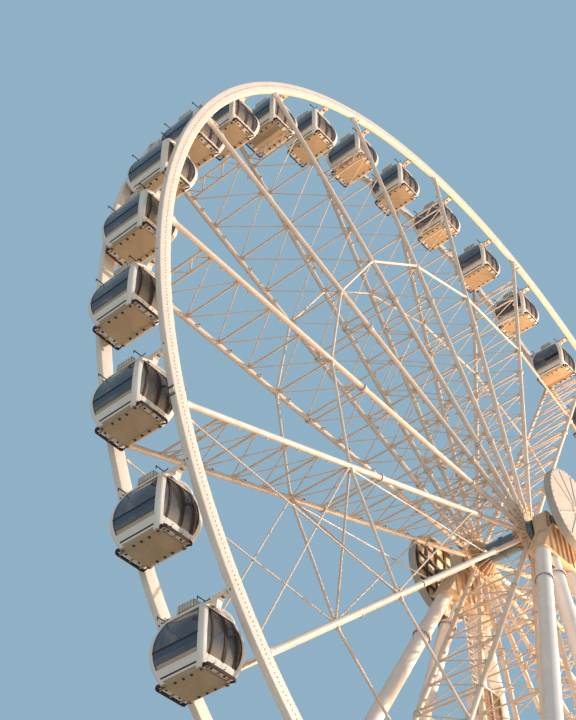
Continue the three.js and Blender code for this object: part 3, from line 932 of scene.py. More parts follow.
# A corner post: its outside turns through a rounded corner, and its inside follows at the wall's thickness
def addPost(shape, sx, sy):
    c = cabinSize
    wide, corner, wall = c["postWidth"], c["corner"], c["wall"]
    rings = []
    for z in levelsBetween(c["postBottom"], c["postTop"], c["postSteps"]):
        hx, hy = halfX(z), halfY(z)
        outline = [(hx, hy - wide)]
        for i in range(c["cornerSteps"] + 1):
            t = math.radians(90 * i / c["cornerSteps"])
            outline.append((hx - corner * (1 - math.cos(t)), hy - corner * (1 - math.sin(t))))
        outline += [(hx - wide, hy), (hx - wide, hy - wall), (hx - corner, hy - wall)]
        outline += [(hx - wall, hy - corner), (hx - wall, hy - wide)]
        ring = [Vector((sx * x, sy * y, z)) for x, y in outline]
        rings.append(ring if sx * sy > 0 else ring[::-1])
    shape.skin(rings)
    foot = []
    for z, shrink in c["foot"]:
        x, y = halfX(c["postBottom"]) - shrink, halfY(c["postBottom"]) - shrink
        outline = [(x, y - 0.12), (x, y - 0.06), (x - 0.06, y), (x - 0.12, y), (x - 0.14, y - 0.14)]
        ring = [Vector((sx * a, sy * b, z)) for a, b in outline]
        foot.append(ring[::-1] if sx * sy > 0 else ring)
    # The foot's orange-brown is partly painted warm light from below
    shape.skin(foot, 1)


# A curved slab on one side of the cabin, from left to right, each a number, a function of the height,
# or None for the post
def addSlab(shape, side, sign, left, right, low, high, lift, thick, paint=0):
    c = cabinSize
    outward = (xAxis if side == "x" else yAxis) * sign
    along = zAxis.cross(outward)
    own, other = (halfX, halfY) if side == "x" else (halfY, halfX)
    rings = []
    for z in levelsBetween(low, high, max(1, math.ceil((high - low) / c["slabStep"]))):
        reach = other(z) - c["postWidth"] + c["lap"]
        a = -reach if left is None else left(z) if callable(left) else left
        b = reach if right is None else right(z) if callable(right) else right
        out = own(z) + lift
        corners = ((out, a), (out, b), (out - thick, b), (out - thick, a))
        rings.append([outward * o + along * p + zAxis * z for o, p in corners])
    shape.skin(rings, paint)


# Seals beside the two posts
def addSeals(trim, side, sign, width, heights, lift, thick):
    c = cabinSize
    other = halfY if side == "x" else halfX

    def inner(z):
        return other(z) - c["postWidth"] - width

    def outer(z):
        return other(z) - c["postWidth"] + c["lap"]

    for low, high in heights:
        addSlab(trim, side, sign, lambda z: -outer(z), lambda z: -inner(z), low, high, lift, thick)
        addSlab(trim, side, sign, inner, outer, low, high, lift, thick)


# Rows from the roof's edge down: part, bottom, top, how far out, thickness, finish
endRows = (
    ("shell", -0.575, -0.54, 0.006, 0.06, 0),
    ("trim", -0.61, -0.575, -0.010, 0.04, 0),
    ("shell", -0.66, -0.61, 0.004, 0.05, 0),
    ("trim", -0.69, -0.66, -0.004, 0.04, 0),
    ("glass", -1.675, -0.685, -0.012, 0.014, 0),
    ("trim", -1.725, -1.675, 0.004, 0.05, 0),
    # This darker glass strip below the bar is painted shade and reflection
    ("glass", -1.93, -1.725, -0.012, 0.014, 1),
    ("glass", -2.115, -1.93, -0.012, 0.014, 0),
    ("shell", -2.265, -2.11, -0.030, 0.03, 2),
    ("shell", -2.485, -2.265, 0.0, 0.05, 0),
    ("trim", -2.53, -2.485, 0.002, 0.05, 0),
    ("shell", -2.57, -2.53, 0.0, 0.05, 0),
)
doorRows = (
    ("shell", -0.65, -0.54, 0.006, 0.06, 0),
    ("trim", -0.685, -0.65, -0.006, 0.04, 0),
    ("glass", -2.275, -0.67, -0.016, 0.014, 2),
    ("shell", -2.30, -2.265, -0.010, 0.05, 0),
    ("shell", -2.57, -2.515, -0.012, 0.05, 0),
    ("trim", -2.50, -2.285, -0.018, 0.02, 0),
)
endFace = {"seal": 0.022, "sealed": ((-1.675, -0.685), (-2.265, -1.725))}
doorFace = {
    "glass": (-2.275, -0.67), "panel": (-2.50, -2.285), "seams": (-0.50, 0.05, 0.56), "seal": 0.028,
    "mullions": ((-0.50, 0.035, 0.020), (0.06, 0.060, 0.035), (0.52, 0.062, 0.030)),
    "latch": ((0.10, -1.50), (0.50, -1.17), 0.048), "grip": (0.665, 0.735, -2.14, -1.72),
    "fittings": (-0.22, 0.21),
    "fitting": ((0, -2.415, 0.020), (0.02, -2.345, 0.012), (-0.05, -2.44, 0.012)),
}


def addRows(parts, side, sign, rows):
    for part, low, high, lift, thick, paint in rows:
        addSlab(parts[part], side, sign, None, None, low, high, lift, thick, paint)


def addDoorFace(parts, sign):
    d, shell, trim = doorFace, parts["shell"], parts["trim"]
    along = -sign  # how places along the side turn into x
    addRows(parts, "y", sign, doorRows)
    stops = [None, *d["seams"], None]
    for a, b in zip(stops, stops[1:]):  # the panel in four lengths, with narrow seams
        left, right = (a, b) if along > 0 else (b, a)
        left = None if left is None else left * along + 0.006
        right = None if right is None else right * along - 0.006
        addSlab(shell, "y", sign, left, right, *d["panel"], 0.0, 0.045)
    for x, half, lining in d["mullions"]:
        middle = x * along
        inner = middle - along * (half + lining)
        addSlab(trim, "y", sign, *about(middle, half), *d["glass"], 0.004, 0.045, 1)
        addSlab(trim, "y", sign, *about(inner, lining), *d["glass"], -0.034, 0.03, 1)
    addSeals(trim, "y", sign, d["seal"], [d["glass"]], -0.006, 0.03)
    (x0, z0), (x1, z1), half = d["latch"]
    points = []
    for t in (0, 0.25, 0.5, 0.75, 1):
        z = z0 + (z1 - z0) * t
        points.append((x0 + (x1 - x0) * t, sign * (halfY(z) + 0.012), z))
    trim.wire(points, half, 4, 0, yAxis * sign, 0.5)
    for x in d["fittings"]:
        for dx, z, size in d["fitting"]:
            trim.rivet((x + dx, sign * (halfY(z) - 0.002), z), yAxis * sign, size, 0.02, 0)
    near, far, low, high = d["grip"]
    addSlab(trim, "y", sign, *sorted((near * along, far * along)), low, high, -0.002, 0.03)


roofSize = {
    "crown": (
        (-0.64, 0.62, 0.72), (-0.55, 0.665, 0.80), (-0.51, 0.63, 0.76), (-0.485, 0.52, 0.62),
        (-0.47, 0.36, 0.48),
    ),
    "corner": 0.09, "unit": (0.60, 0.33, -0.50, -0.165), "slats": (11, 6), "slat": 0.040, "lid": 0.03,
    "bow": (
        (0.63, 0.775, -0.63), (0.56, 0.80, -0.545), (0.40, 0.80, -0.465), (0.24, 0.775, -0.42),
        (0.10, 0.75, -0.41),
    ),
    "bowRadius": 0.065,
}


def roundedRing(x, y, z, corner, steps=5):
    return [Vector((a, b, z)) for a, b in roundedBox((-x, -y), (x, y), corner, steps)]


def addRoof(shell, unit):
    r = roofSize
    shell.skin([roundedRing(x, y, z, r["corner"]) for z, x, y in r["crown"]])
    x, y, low, high = r["unit"]
    slatZ = (low + 0.07, high - 0.06)
    unit.block((-x, x), (-y, y), (low, high - r["lid"]), 0.015, 1)
    unit.block(about(0, x + 0.012), about(0, y + 0.012), (high - r["lid"] - 0.004, high), 0.012)
    unit.block(about(0, x + 0.02), about(0, y + 0.02), (low - 0.02, low + 0.035), 0.008)
    for sign in (-1, 1):
        for i in range(r["slats"][1]):
            b = -y + 0.05 + (2 * y - 0.10) * i / (r["slats"][1] - 1)
            unit.block(about(sign * (x + 0.008), 0.016), about(b, r["slat"]), slatZ, 0.004)
        for i in range(r["slats"][0]):
            a = -x + 0.06 + (2 * x - 0.12) * i / (r["slats"][0] - 1)
            unit.block(about(a, r["slat"]), about(sign * (y + 0.008), 0.016), slatZ, 0.004)
        unit.block(about(sign * (x - 0.10), 0.03), about(0, y + 0.10), (low - 0.03, low + 0.01), 0.008)
        for sy in (-1, 1):
            unit.bolt((sign * (x - 0.06), sy * (y - 0.05), high - 0.002), zAxis, 0.016, 0.018)
            shell.wire([(sign * a, sy * b, c) for a, b, c in r["bow"]], r["bowRadius"], 10)


hangerSize = {
    "outline": (
        (1.17, 0.05), (1.19, 0.0), (1.17, -0.05), (1.0, -0.06), (0.88, -0.08), (0.80, -0.15),
        (0.765, -0.30), (0.775, -0.45), (0.84, -0.55), (0.34, -0.55), (0.28, -0.44), (0.26, -0.26),
        (0.28, -0.10), (0.36, 0.0), (0.62, 0.04), (0.95, 0.06),
    ),
    "thick": 0.03, "gap": 0.09, "flange": 0.025, "front": (4, 9), "top": (12, 16), "saddle": 0.64,
    "saddleBolts": (0.20, 0.13), "plateBolts": ((0.50, -0.40), (0.64, -0.40)),
    "pin": ((0, 0.09), (0.16, 0.09), (0.18, 0.07), (0.30, 0.07)),
}


# Two parallel plates from the saddle on the roof to the axle pin, with flanges along their front and top
def addHanger(shell, trim, sign):
    h = hangerSize
    out, middle = yAxis * sign, sign * h["saddle"]
    for offset in (-h["gap"], h["gap"]):
        shell.plate(h["outline"], (offset, 0, 0), out, zAxis, h["thick"], 3)
    for first, last in (h["front"], h["top"]):
        edge = [(0, sign * y, z) for y, z in h["outline"][first:last]]
        shell.wire(edge, h["flange"], 4, 3, xAxis, (h["gap"] + 0.02) * 1.414 / h["flange"])
    shell.block((-0.26, 0.26), about(middle, 0.19), (-0.56, -0.52), 0.01, 3)
    for x in about(0, h["saddleBolts"][0]):
        for y in about(middle, h["saddleBolts"][1]):
            trim.rivet((x, y, -0.52), zAxis, 0.024, 0.024, 0)
    for y, z in h["plateBolts"]:
        for s in (-1, 1):
            trim.rivet((s * (h["gap"] + 0.015), sign * y, z), xAxis * s, 0.026, 0.026, 0)
    shell.spindle((-0.125, sign * 1.07, 0), xAxis, [(0, 0.085), (0.25, 0.085)], 20, 3)
    start = Vector((0, sign * 0.98, 0))
    shell.spindle(start, out, h["pin"], 20, 3)
    trim.spindle(start + out * 0.22, out, [(0, 0.095), (0.04, 0.095)], 20)


hookSize = {
    "rod": 0.018, "baseX": (-0.56, -0.26), "baseY": 0.755,
    "main": ((0.94, 0.80, -0.495), (0.16, 0.79, -0.480)),
    "nub": ((0.93, 0.80, -0.480), (0.93, 0.80, -0.600)),
    "cross": ((0.60, 0.72, -0.495), (0.60, 0.95, -0.495), (0.60, 0.965, -0.450)),
}


# A bar along each roof edge that reaches past the left corner, with a turned-down end and a cross piece
def addHooks(trim):
    h = hookSize
    for sy in (-1, 1):
        for name in ("main", "nub", "cross"):
            trim.wire([(-x, sy * y, z) for x, y, z in h[name]], h["rod"], 8, 0, yAxis)
        for x in h["baseX"]:
            trim.block(about(x, 0.04), about(sy * h["baseY"], 0.05), (-0.56, -0.475))


railSize = {
    "reachX": 0.60, "reachY": 1.02, "z": -2.62, "bend": 0.09, "bendSteps": 4, "radius": 0.064, "flat": 0.42,
    "root": (0.54, 0.74, -2.60), "shelf": (-2.575, 0.76, 0.965),
    "bolts": (-0.28, 0.26), "arms": (-0.42, 0.0, 0.42),
}


# A flat bumper rail on brackets below each door, with a shelf behind it
def addRails(shell, trim):
    r = railSize
    x, y, z = r["root"]
    half = [(x, y, z), (x + 0.03, y + 0.05, z), (r["reachX"], r["reachY"] - r["bend"], r["z"])]
    bend, steps = r["bend"], r["bendSteps"]
    for i in range(1, steps + 1):
        t = math.radians(90 * i / steps)
        half.append((r["reachX"] - bend * (1 - math.cos(t)), r["reachY"] - bend * (1 - math.sin(t)), r["z"]))
    path = half + [(-x, y, z) for x, y, z in half[::-1]]
    z, inside, outside = r["shelf"]
    for sign in (-1, 1):
        trim.wire([(a, sign * b, c) for a, b, c in path], r["radius"], 8, 1, yAxis * sign, r["flat"])
        shell.block((-0.53, 0.53), (sign * inside, sign * outside), about(z, 0.012), 0.006)
        for x in r["bolts"]:
            trim.bolt((x, sign * 0.86, z - 0.012), -zAxis, 0.032, 0.03, 0)
        for x in r["arms"]:
            across = (sign * inside, sign * (r["reachY"] - 0.02))
            shell.block(about(x, 0.02), across, (z - 0.075, z - 0.01), 0.005, 1)


floorSize = {
    "rings": (
        (-2.655, 0.52, 0.72), (-2.655, 0.575, 0.765), (-2.645, 0.590, 0.775), (-2.56, 0.665, 0.785),
        (-2.50, 0.66, 0.79),
    ),
    "boltX": 0.49, "boltY": (-0.315, 0.0, 0.315), "bolt": 0.036, "cornerX": 0.54, "cornerY": 0.72,
}


def addFloor(shell, trim):
    f = floorSize
    shell.skin([roundedRing(x, y, z, 0.06, 3) for z, x, y in f["rings"]], 1)
    for sx in (-1, 1):
        shell.block(about(sx * f["boltX"], 0.055), (-0.52, 0.52), (-2.668, -2.652), 0.006, 1)
        for y in f["boltY"]:
            trim.bolt((sx * f["boltX"], y, -2.667), -zAxis, f["bolt"], 0.035, 0)
        for sy in (-1, 1):
            trim.block(about(sx * f["cornerX"], 0.05), about(sy * f["cornerY"], 0.05), (-2.69, -2.64), 0.015)
    shell.block((-0.56, 0.56), (-0.02, 0.02), (-2.662, -2.652), 0.004, 1)


insideSize = {
    "ceiling": (-0.70, -0.66), "bench": (0.34, 0.68, -2.10, -1.98), "length": 0.72, "slats": 8,
    "backX": 0.70, "back": (-2.02, -1.84),
}


def addInside(shell):
    s = insideSize
    length = s["length"]
    shell.skin([roundedRing(0.60, 0.69, z, 0.06, 3) for z in s["ceiling"]], 2)
    x0, x1, low, high = s["bench"]
    for sx in (-1, 1):
        a, b = sorted((sx * x0, sx * x1))
        shell.block((a, b), (-length, length), (low, high), 0.03, 4)
        shell.block((a + 0.04, b - 0.04), about(0, length - 0.05), (-2.50, low), 0.01, 2)
        for i in range(s["slats"]):
            y = -length + 0.09 + i * (2 * length - 0.18) / (s["slats"] - 1)
            shell.block(about(sx * s["backX"], 0.02), about(y, 0.07), s["back"], 0.012, 4)
    shell.wire([(0, 0.10, -1.10), (0, 0.10, -0.70)], 0.02, 6, 2)


cabinParts = {
    "shell": (["cabinPaint", "undersidePaintAndWarmth", "liningPaint", "creamPaint", "seatPaint"], "cabin_paint"),
    "trim": (["blackRubber", "railPaint"], "black_trim"),
    "glass": (["endGlass", "shadowBandGlass", "doorGlass"], "cabin_glass"),
    "roof_unit": (["unitPaint", "boltSteel"], "cabin_paint"),
}


def makeCabins():
    parts = {part: Shape() for part in cabinParts}
    shell, trim, unit = parts["shell"], parts["trim"], parts["roof_unit"]
    for sign in (-1, 1):
        for sy in (-1, 1):
            addPost(shell, sign, sy)
        addRows(parts, "x", sign, endRows)
        addSeals(trim, "x", sign, endFace["seal"], endFace["sealed"], -0.004, 0.02)
        addDoorFace(parts, sign)
        addHanger(shell, trim, sign)
    addRoof(shell, unit)
    addHooks(trim)
    addRails(shell, trim)
    addFloor(shell, trim)
    addInside(shell)
    meshes = {part: meshFrom(f"cabin_{part}", parts[part], cabinParts[part][0]) for part in cabinParts}
    for number in range(1, cabinCount + 1):
        name = f"cabin_{number:02d}"
        axle = joints[f"{name}_hang"]
        for part, (_, slotName) in cabinParts.items():
            place(f"{name}_{part}", meshes[part], name, (name,) if part == "shell" else (), axle)


makeCabins()

print("stage: supports")

headSize = {
    "halfWidth": 0.62, "inside": 1.92, "outside": 2.6, "top": 0.55, "waist": -0.5, "round": 0.30,
    "cheek": 0.06, "crownInside": 2.0, "crownOutside": 2.95, "crownBottom": -2.4, "crownHalf": 1.9,
    "plate": 0.06, "hull": 0.09,
    "bearing": ((0.47, -0.02), (0.47, 0.035), (0.45, 0.05), (0.27, 0.05), (0.27, -0.02)),
    "bearingBolts": (0.40, 16, 0.022, 0.03), "faceBolts": ((-0.54, 0.54), (-0.38, -0.12, 0.14)),
    "port": ((0.34, -0.02), (0.34, 0.10), (0.26, 0.10), (0.26, -0.02)), "portZ": -1.25,
    "ribs": (-1.15, -0.62, -0.21, 0.21, 0.62, 1.15), "boltX": -1.74, "boltPitch": 0.29, "bolts": 13,
}


def crownHalf(z):
    h = headSize
    spread, drop = h["crownHalf"] - h["halfWidth"], h["waist"] - h["crownBottom"]
    return h["halfWidth"] + spread * (h["waist"] - z) / drop


# The block that holds the bearing
def addBearingBlock(shape, side):
    h = headSize
    wide, waist = h["halfWidth"], h["waist"]
    outline = [(-wide, waist - 0.02), (wide, waist - 0.02)]
    for i in range(7):
        t = math.radians(15 * i)
        outline.append((wide - h["round"] * (1 - math.cos(t)), h["top"] - h["round"] * (1 - math.sin(t))))
    outline += [(-x, z) for x, z in outline[:1:-1]]
    middle, depth = (h["inside"] + h["outside"]) / 2, h["outside"] - h["inside"]
    shape.plate(outline, (0, side * middle, 0), xAxis, zAxis, depth - 0.10)
    for y in (h["inside"] + 0.03, h["outside"] - 0.03):
        shape.plate(outline, (0, side * y, 0), xAxis, zAxis, h["cheek"])
    for y, way in ((h["inside"], -1), (h["outside"], 1)):
        out = yAxis * side * way
        face = Vector((0, side * y, 0))
        shape.turned(face, out, h["bearing"], 48)
        shape.boltCircle(face + out * 0.045, out, h["bearingBolts"], 11, washers=True)
        for x in h["faceBolts"][0]:
            for z in h["faceBolts"][1]:
                shape.bolt(face + Vector((x, 0, z)) + out * 0.002, out, 0.020, 0.026)


# The widening box under it that the legs end in
def addCrown(shape, side):
    h = headSize
    inside, outside, waist = h["crownInside"], h["crownOutside"], h["waist"]
    low, high = h["crownBottom"] + 0.09, waist - 0.05
    lowHalf, highHalf = crownHalf(low), crownHalf(high)
    face = [(0.05 - lowHalf, low), (lowHalf - 0.05, low), (highHalf - 0.03, high), (0.03 - highHalf, high)]
    for y in (inside + h["hull"], outside - h["hull"]):
        shape.plate(face, (0, side * y, 0), xAxis, zAxis, h["plate"])
    across = (side * (inside + 0.05), side * (outside - 0.05))
    for sx in (-1, 1):  # rims along the slopes, and closed sloping sides with stiffeners
        for y in (side * (inside + 0.10), side * (outside - 0.10)):
            edge = [(sx * (lowHalf - 0.03), y, low), (sx * (highHalf - 0.03), y, high + 0.06)]
            shape.wire(edge, 0.045, 4, 0, yAxis, 2.0)
        run = Vector((sx * (lowHalf - 0.07), 0, low))
        rise = Vector((sx * (highHalf - 0.07), 0, high)) - run
        a, b = sorted(across)
        shape.plate([(a, 0), (b, 0), (b, rise.length), (a, rise.length)], run, yAxis, rise, 0.05)
        for share in (0.25, 0.5, 0.75):
            spot = run + rise * share
            shape.block(about(spot.x, 0.05), across, about(spot.z, 0.02), 0.006)
        for y in (inside + 0.10, outside - 0.35):
            shape.bolt((sx * 0.50, side * y, waist), zAxis, 0.024, 0.034)
    whole = (side * inside, side * outside)
    shape.block(about(0, h["crownHalf"]), whole, (h["crownBottom"], low), 0.015)
    shape.block(about(0, h["halfWidth"]), whole, (waist - 0.08, waist), 0.015)
    for x in h["ribs"]:
        top = min(waist - 0.06, waist - (abs(x) - h["halfWidth"]) * 1.45)
        for y in (inside + 0.045, outside - 0.045):
            shape.block(about(x, 0.02), about(side * y, 0.035), (h["crownBottom"] + 0.07, top), 0.006)
    for i in range(h["bolts"]):
        for y in (inside + 0.07, outside - 0.07):
            spot = (h["boltX"] + h["boltPitch"] * i, side * y, h["crownBottom"] + 0.088)
            shape.bolt(spot, zAxis, 0.024, 0.034)
    shape.turned((0, side * inside, h["portZ"]), yAxis, h["port"], 32)


def makeSupport(name, shape, paint, *replaces):
    makePiece(name, shape, [paint, "boltSteel"], "frame", replaces)


for word, side in sides.items():
    head = Shape()
    addBearingBlock(head, side)
    addCrown(head, side)
    makeSupport(f"{word}_head_body", head, "headShadedPaint", f"{word}_bearing_head")

axleSize = {
    "radius": 0.25, "half": 3.5, "sides": 64, "lap": 0.02, "ease": (0.01, 0.02),
    "collars": ((1.80, 0.09, 0.31), (2.68, 0.12, 0.33), (3.34, 0.14, 0.36)),
    "boltsAt": 2.80, "bolts": (0.31, 12, 0.014, 0.02), "pipe": ((2.75, 0.27), (2.75, 0.40), (2.62, 0.44)),
}


def makeAxle():
    a, shape = axleSize, Shape()
    r, half = a["radius"], a["half"]
    stops = [(0, r - 0.03), (0.03, r), (2 * half - 0.03, r), (2 * half, r - 0.03)]
    shape.spindle((0, -half, 0), yAxis, stops, a["sides"])
    for side in (-1, 1):
        for y, width, ring in a["collars"]:
            low, high = sorted((side * y, side * (y + width)))
            profile = flangeProfile(ring, r - a["lap"], low, high, *a["ease"])
            shape.turned((0, 0, 0), yAxis, profile, 48)
        shape.boltCircle((0, side * a["boltsAt"], 0), yAxis * side, a["bolts"])
        shape.wire([(0, side * y, z) for y, z in a["pipe"]], 0.018, 8, 1)
    return shape


makePiece("axle_body", makeAxle(), ["slatePaint", "boltSteel"], "frame", ("main_axle",))

print("stage: legs and ground beams")

legSize = {
    "radius": 0.33, "sides": 40, "lean": 0.2, "start": (2.24, -0.72), "top": -2.4,
    "foot": -26.45, "footHigh": 0.10, "plate": 0.48, "footBolts": (0.40, 0.43, 0.13),
    "kinds": {"inner": (0.36, 0.265, -3.6), "outer": (0.6, 0.54, -4.9)},
    "collar": 0.41, "collarHalf": 0.06, "bolts": (0.372, 24, 0.024, 0.036), "ribs": 12, "seamPitch": 4.6,
    "lap": 0.02, "ease": (0.006, 0.01), "seamEnd": 1.5, "rib": ((0, 0), (0.07, 0), (0, 0.16)),
    "fin": ((0.20, 0.0), (0.52, 0.0), (0.52, 0.05), (0.34, 0.46), (0.20, 0.46)),
}


def legPoint(kind, sx, sy, z):
    x, spread, _ = legSize["kinds"][kind]
    y, start = legSize["start"]
    drop = start - z
    return Vector((sx * (x + spread * drop), sy * (y + legSize["lean"] * drop), z))


# A round tube cut level at both ends
def addLevelTube(shape, low, high, radius, count):
    u, v, w = axesAlong(high - low, yAxis)
    shape.skin([
        [p + w * ((end.z - p.z) / w.z) for p in circle(end, u, v, radius, count)] for end in (low, high)
    ])


def makeLeg(kind, sx, sy):
    s, shape = legSize, Shape()
    r, collar, half = s["radius"], s["collar"], s["collarHalf"]
    jointZ = s["kinds"][kind][2]
    footZ = s["foot"] + s["footHigh"]
    base, joint = legPoint(kind, sx, sy, footZ), legPoint(kind, sx, sy, jointZ)
    addLevelTube(shape, base, legPoint(kind, sx, sy, s["top"]), r, s["sides"])
    along = (legPoint(kind, sx, sy, 0) - legPoint(kind, sx, sy, -1)).normalized()
    u, v, w = axesAlong(along, yAxis)
    for sign in (-1, 1):  # the two flanges of the bolted joint
        low, high = sorted((sign * 0.006, sign * half))
        profile = flangeProfile(collar, r - s["lap"], low, high, *s["ease"])
        shape.turned(joint, along, profile, s["sides"], 0, yAxis)
        face = joint + w * sign * half
        shape.boltCircle(face, w * sign, s["bolts"], 0.0, u, v, True)
        for c, t in around(s["ribs"], 180 / s["ribs"]):
            out = u * c + v * t
            shape.plate(s["rib"], face + out * (r - 0.005), out, w * sign, 0.012)
    seam = [(r + 0.006, -0.02), (r + 0.006, 0.02), (r - 0.01, 0.03), (r - 0.01, -0.03)]
    z = jointZ - s["seamPitch"]
    while z > footZ + s["seamEnd"]:  # welded seams further down
        shape.turned(legPoint(kind, sx, sy, z), along, seam, s["sides"], 0, yAxis)
        z -= s["seamPitch"]
    foot = legPoint(kind, sx, sy, s["foot"])
    shape.block(about(foot.x, s["plate"]), about(foot.y, s["plate"]), (s["foot"] + 0.002, footZ), 0.012)
    corner, edge, off = s["footBolts"]
    for a in (-1, 1):
        for b in (-1, 1):
            shape.bolt((foot.x + a * corner, foot.y + b * corner, footZ), zAxis, 0.036, 0.075)
        for b in (-off, off):
            shape.bolt((foot.x + a * edge, foot.y + b, footZ), zAxis, 0.028, 0.06)
            shape.bolt((foot.x + b, foot.y + a * edge, footZ), zAxis, 0.028, 0.06)
    for c, t in around(4, 45):
        shape.plate(s["fin"], base, Vector((c, t, 0)), zAxis, 0.03)
    return shape


webSize = {
    "top": -2.42, "low": -3.95, "steps": 8, "shown": 5, "offsets": (-0.20, 0.20), "edge": 0.22, "half": 0.012,
}


# The webs that join two legs where they part under the crown
def makeWebs(side):
    w, shape = webSize, Shape()
    for sx in (-1, 1):
        for offset in w["offsets"]:
            edges = []
            for i in range(w["shown"] + 1):
                z = w["top"] + (w["low"] - w["top"]) * i / w["steps"]
                inset = xAxis * sx * (w["edge"] + 0.01 - 0.01 * math.cos(math.pi * i / w["steps"]))
                lift = yAxis * side * offset
                inner, outer = legPoint("inner", sx, side, z) + inset, legPoint("outer", sx, side, z) - inset
                edges.append([inner + lift, outer + lift])
            for (a, b), (c, d) in zip(edges, edges[1:]):
                rings = [[p + yAxis * (n * w["half"]) for p in (a, c, d, b)] for n in (-1, 1)]
                shape.skin(rings if sx < 0 else rings[::-1])
    return shape


for word, side in sides.items():
    makeSupport(f"{word}_leg_webs", makeWebs(side), "headShadedPaint")
    for hand, sx in hands.items():
        for kind in legSize["kinds"]:
            name = f"{word}_{hand}_{kind}_leg"
            makeSupport(f"{name}_body", makeLeg(kind, sx, side), "legPaint", name)

groundSize = {
    "ground": -27.0, "beamHalf": 15.4, "beamWide": 0.5, "beamTop": -26.55, "beamY": 7.406, "flange": 0.06,
    "web": 0.05, "webs": (-0.22, 0.22), "bays": 22, "tieX": 7.205, "tieWide": 0.15, "tieTop": -26.7,
    "tieHalf": 0.15, "tieCorner": 0.035, "tieBolts": (0.19, (0.08, 0.23)), "endPlate": 0.05,
    "bands": (0.0, 0.33, 0.66),
}


def makeBeam(side):
    g, shape = groundSize, Shape()
    y, half, wide = side * g["beamY"], g["beamHalf"], g["beamWide"]
    floor, ceiling = g["ground"] + g["flange"], g["beamTop"] - g["flange"]
    for low in (g["ground"], ceiling):
        shape.block((-half, half), about(y, wide), (low, low + g["flange"]), 0.012)
    for offset in g["webs"]:
        shape.block((-half, half), about(y + offset, g["web"] / 2), (floor - 0.004, ceiling + 0.004), 0.004)
    for i in range(g["bays"] + 1):
        x = -half + 0.04 + i * (2 * half - 0.08) / g["bays"]
        for sign in (-1, 1):
            stiffener = (y + sign * 0.23, y + sign * (wide - 0.03))
            shape.block(about(x, 0.018), stiffener, (floor, ceiling), 0.004)
            shape.bolt((x + (0.3 if i < g["bays"] else -0.3), y + sign * 0.40, floor), zAxis, 0.030, 0.06)
    for end in (-1, 1):
        across = about(y, wide - 0.02)
        shape.block((end * (half - 0.04), end * half), across, (g["ground"], g["beamTop"]), 0.008)
    return shape


def makeGroundTie(sx):
    g, shape = groundSize, Shape()
    x, wide, ground = sx * g["tieX"], g["tieWide"], g["ground"]
    end, high = g["beamY"] - g["beamWide"], g["tieHalf"]
    section = roundedBox((-wide, -high), (wide, high), g["tieCorner"], 4)[::-1]
    ring = [Vector((x + a, 0, ground + high + b)) for a, b in section]
    shape.skin([[p + yAxis * (n * end) for p in ring] for n in (-1, 1)])
    for y in sorted({sign * end * share for sign in (-1, 1) for share in g["bands"]}):
        shape.block(about(x, wide + 0.01), about(y, 0.06), (ground, g["tieTop"] + 0.01))
    across, heights = g["tieBolts"]
    for sign in (-1, 1):
        face = sign * (end - g["endPlate"])
        shape.block(about(x, wide + 0.09), (face, sign * end), (ground + 0.005, g["tieTop"] + 0.03))
        for dx in about(0, across):
            for dz in heights:
                shape.bolt((x + dx, face, ground + dz), yAxis * -sign, 0.024, 0.03)
    return shape


for word, side in sides.items():
    makeSupport(f"{word}_beam_body", makeBeam(side), "legPaint", f"{word}_ground_beam")
for hand, sx in hands.items():
    makeSupport(f"{hand}_tie_body", makeGroundTie(sx), "legPaint", f"{hand}_ground_tie")

print("stage: hub discs")

discSize = {
    "radius": 2.18, "back": 3.505, "front": 3.86, "wall": 0.08, "face": 0.05, "sides": 96,
    "rimBolts": (2.11, 48, 0.018, 0.02), "capBolts": (0.36, 12, 0.026, 0.02),
    "bossBolts": (0.385, 12, 0.012, 0.006),
    "spokes": 12, "pitch": 0.75, "lean": -5, "bar": 0.06, "barDepth": 0.07, "bars": 6, "cells": 7,
    "cushion": ((0.49, 0.0), (0.48, 0.165), (0.41, 0.205), (0.30, 0.225), (0.16, 0.235)),
}


# A shallow drum with radial ribs on its outer face
def addDrum(shape, side):
    d = discSize
    radius, back, front = d["radius"], d["back"], d["front"]
    inside, out = radius - d["wall"], yAxis * side
    drum = [(radius - 0.015, back), (radius, back + 0.015), (radius, front - 0.015), (radius - 0.015, front)]
    drum += [(0.02, front), (0.02, front - d["face"]), (inside, front - d["face"]), (inside, back)]
    shape.turned((0, 0, 0), out, drum, d["sides"])
    for y in (back + 0.10, front - 0.10):
        band = [(radius + 0.012, y - 0.02), (radius + 0.012, y + 0.02), (radius - 0.01, y + 0.02)]
        shape.turned((0, 0, 0), out, [*band, (radius - 0.01, y - 0.02)], d["sides"])
    shape.boltCircle((0, side * front, 0), out, d["rimBolts"], 180 / d["rimBolts"][1])
    for c, s in around(d["spokes"]):
        rib, over = Vector((c, 0, s)), Vector((-s, 0, c))
        turn = frameAt(rib, over, rib.cross(over), out * (front + 0.008))
        shape.block((0.44, 2.02), (-0.03, 0.03), (-0.018, 0.018), 0.006, 0, turn)
    cap = [(0.44, front - 0.01), (0.44, front + 0.02), (0.02, front + 0.02), (0.02, front - 0.01)]
    shape.turned((0, 0, 0), out, cap, 48)
    shape.boltCircle((0, side * (front + 0.02), 0), out, d["capBolts"], 15, washers=True)
    skin = [(inside - 0.002, back + 0.01), (inside - 0.002, front - 0.06), (inside - 0.02, front - 0.06)]
    shape.turned((0, 0, 0), out, [*skin, (inside - 0.02, back + 0.01)], d["sides"], 3)


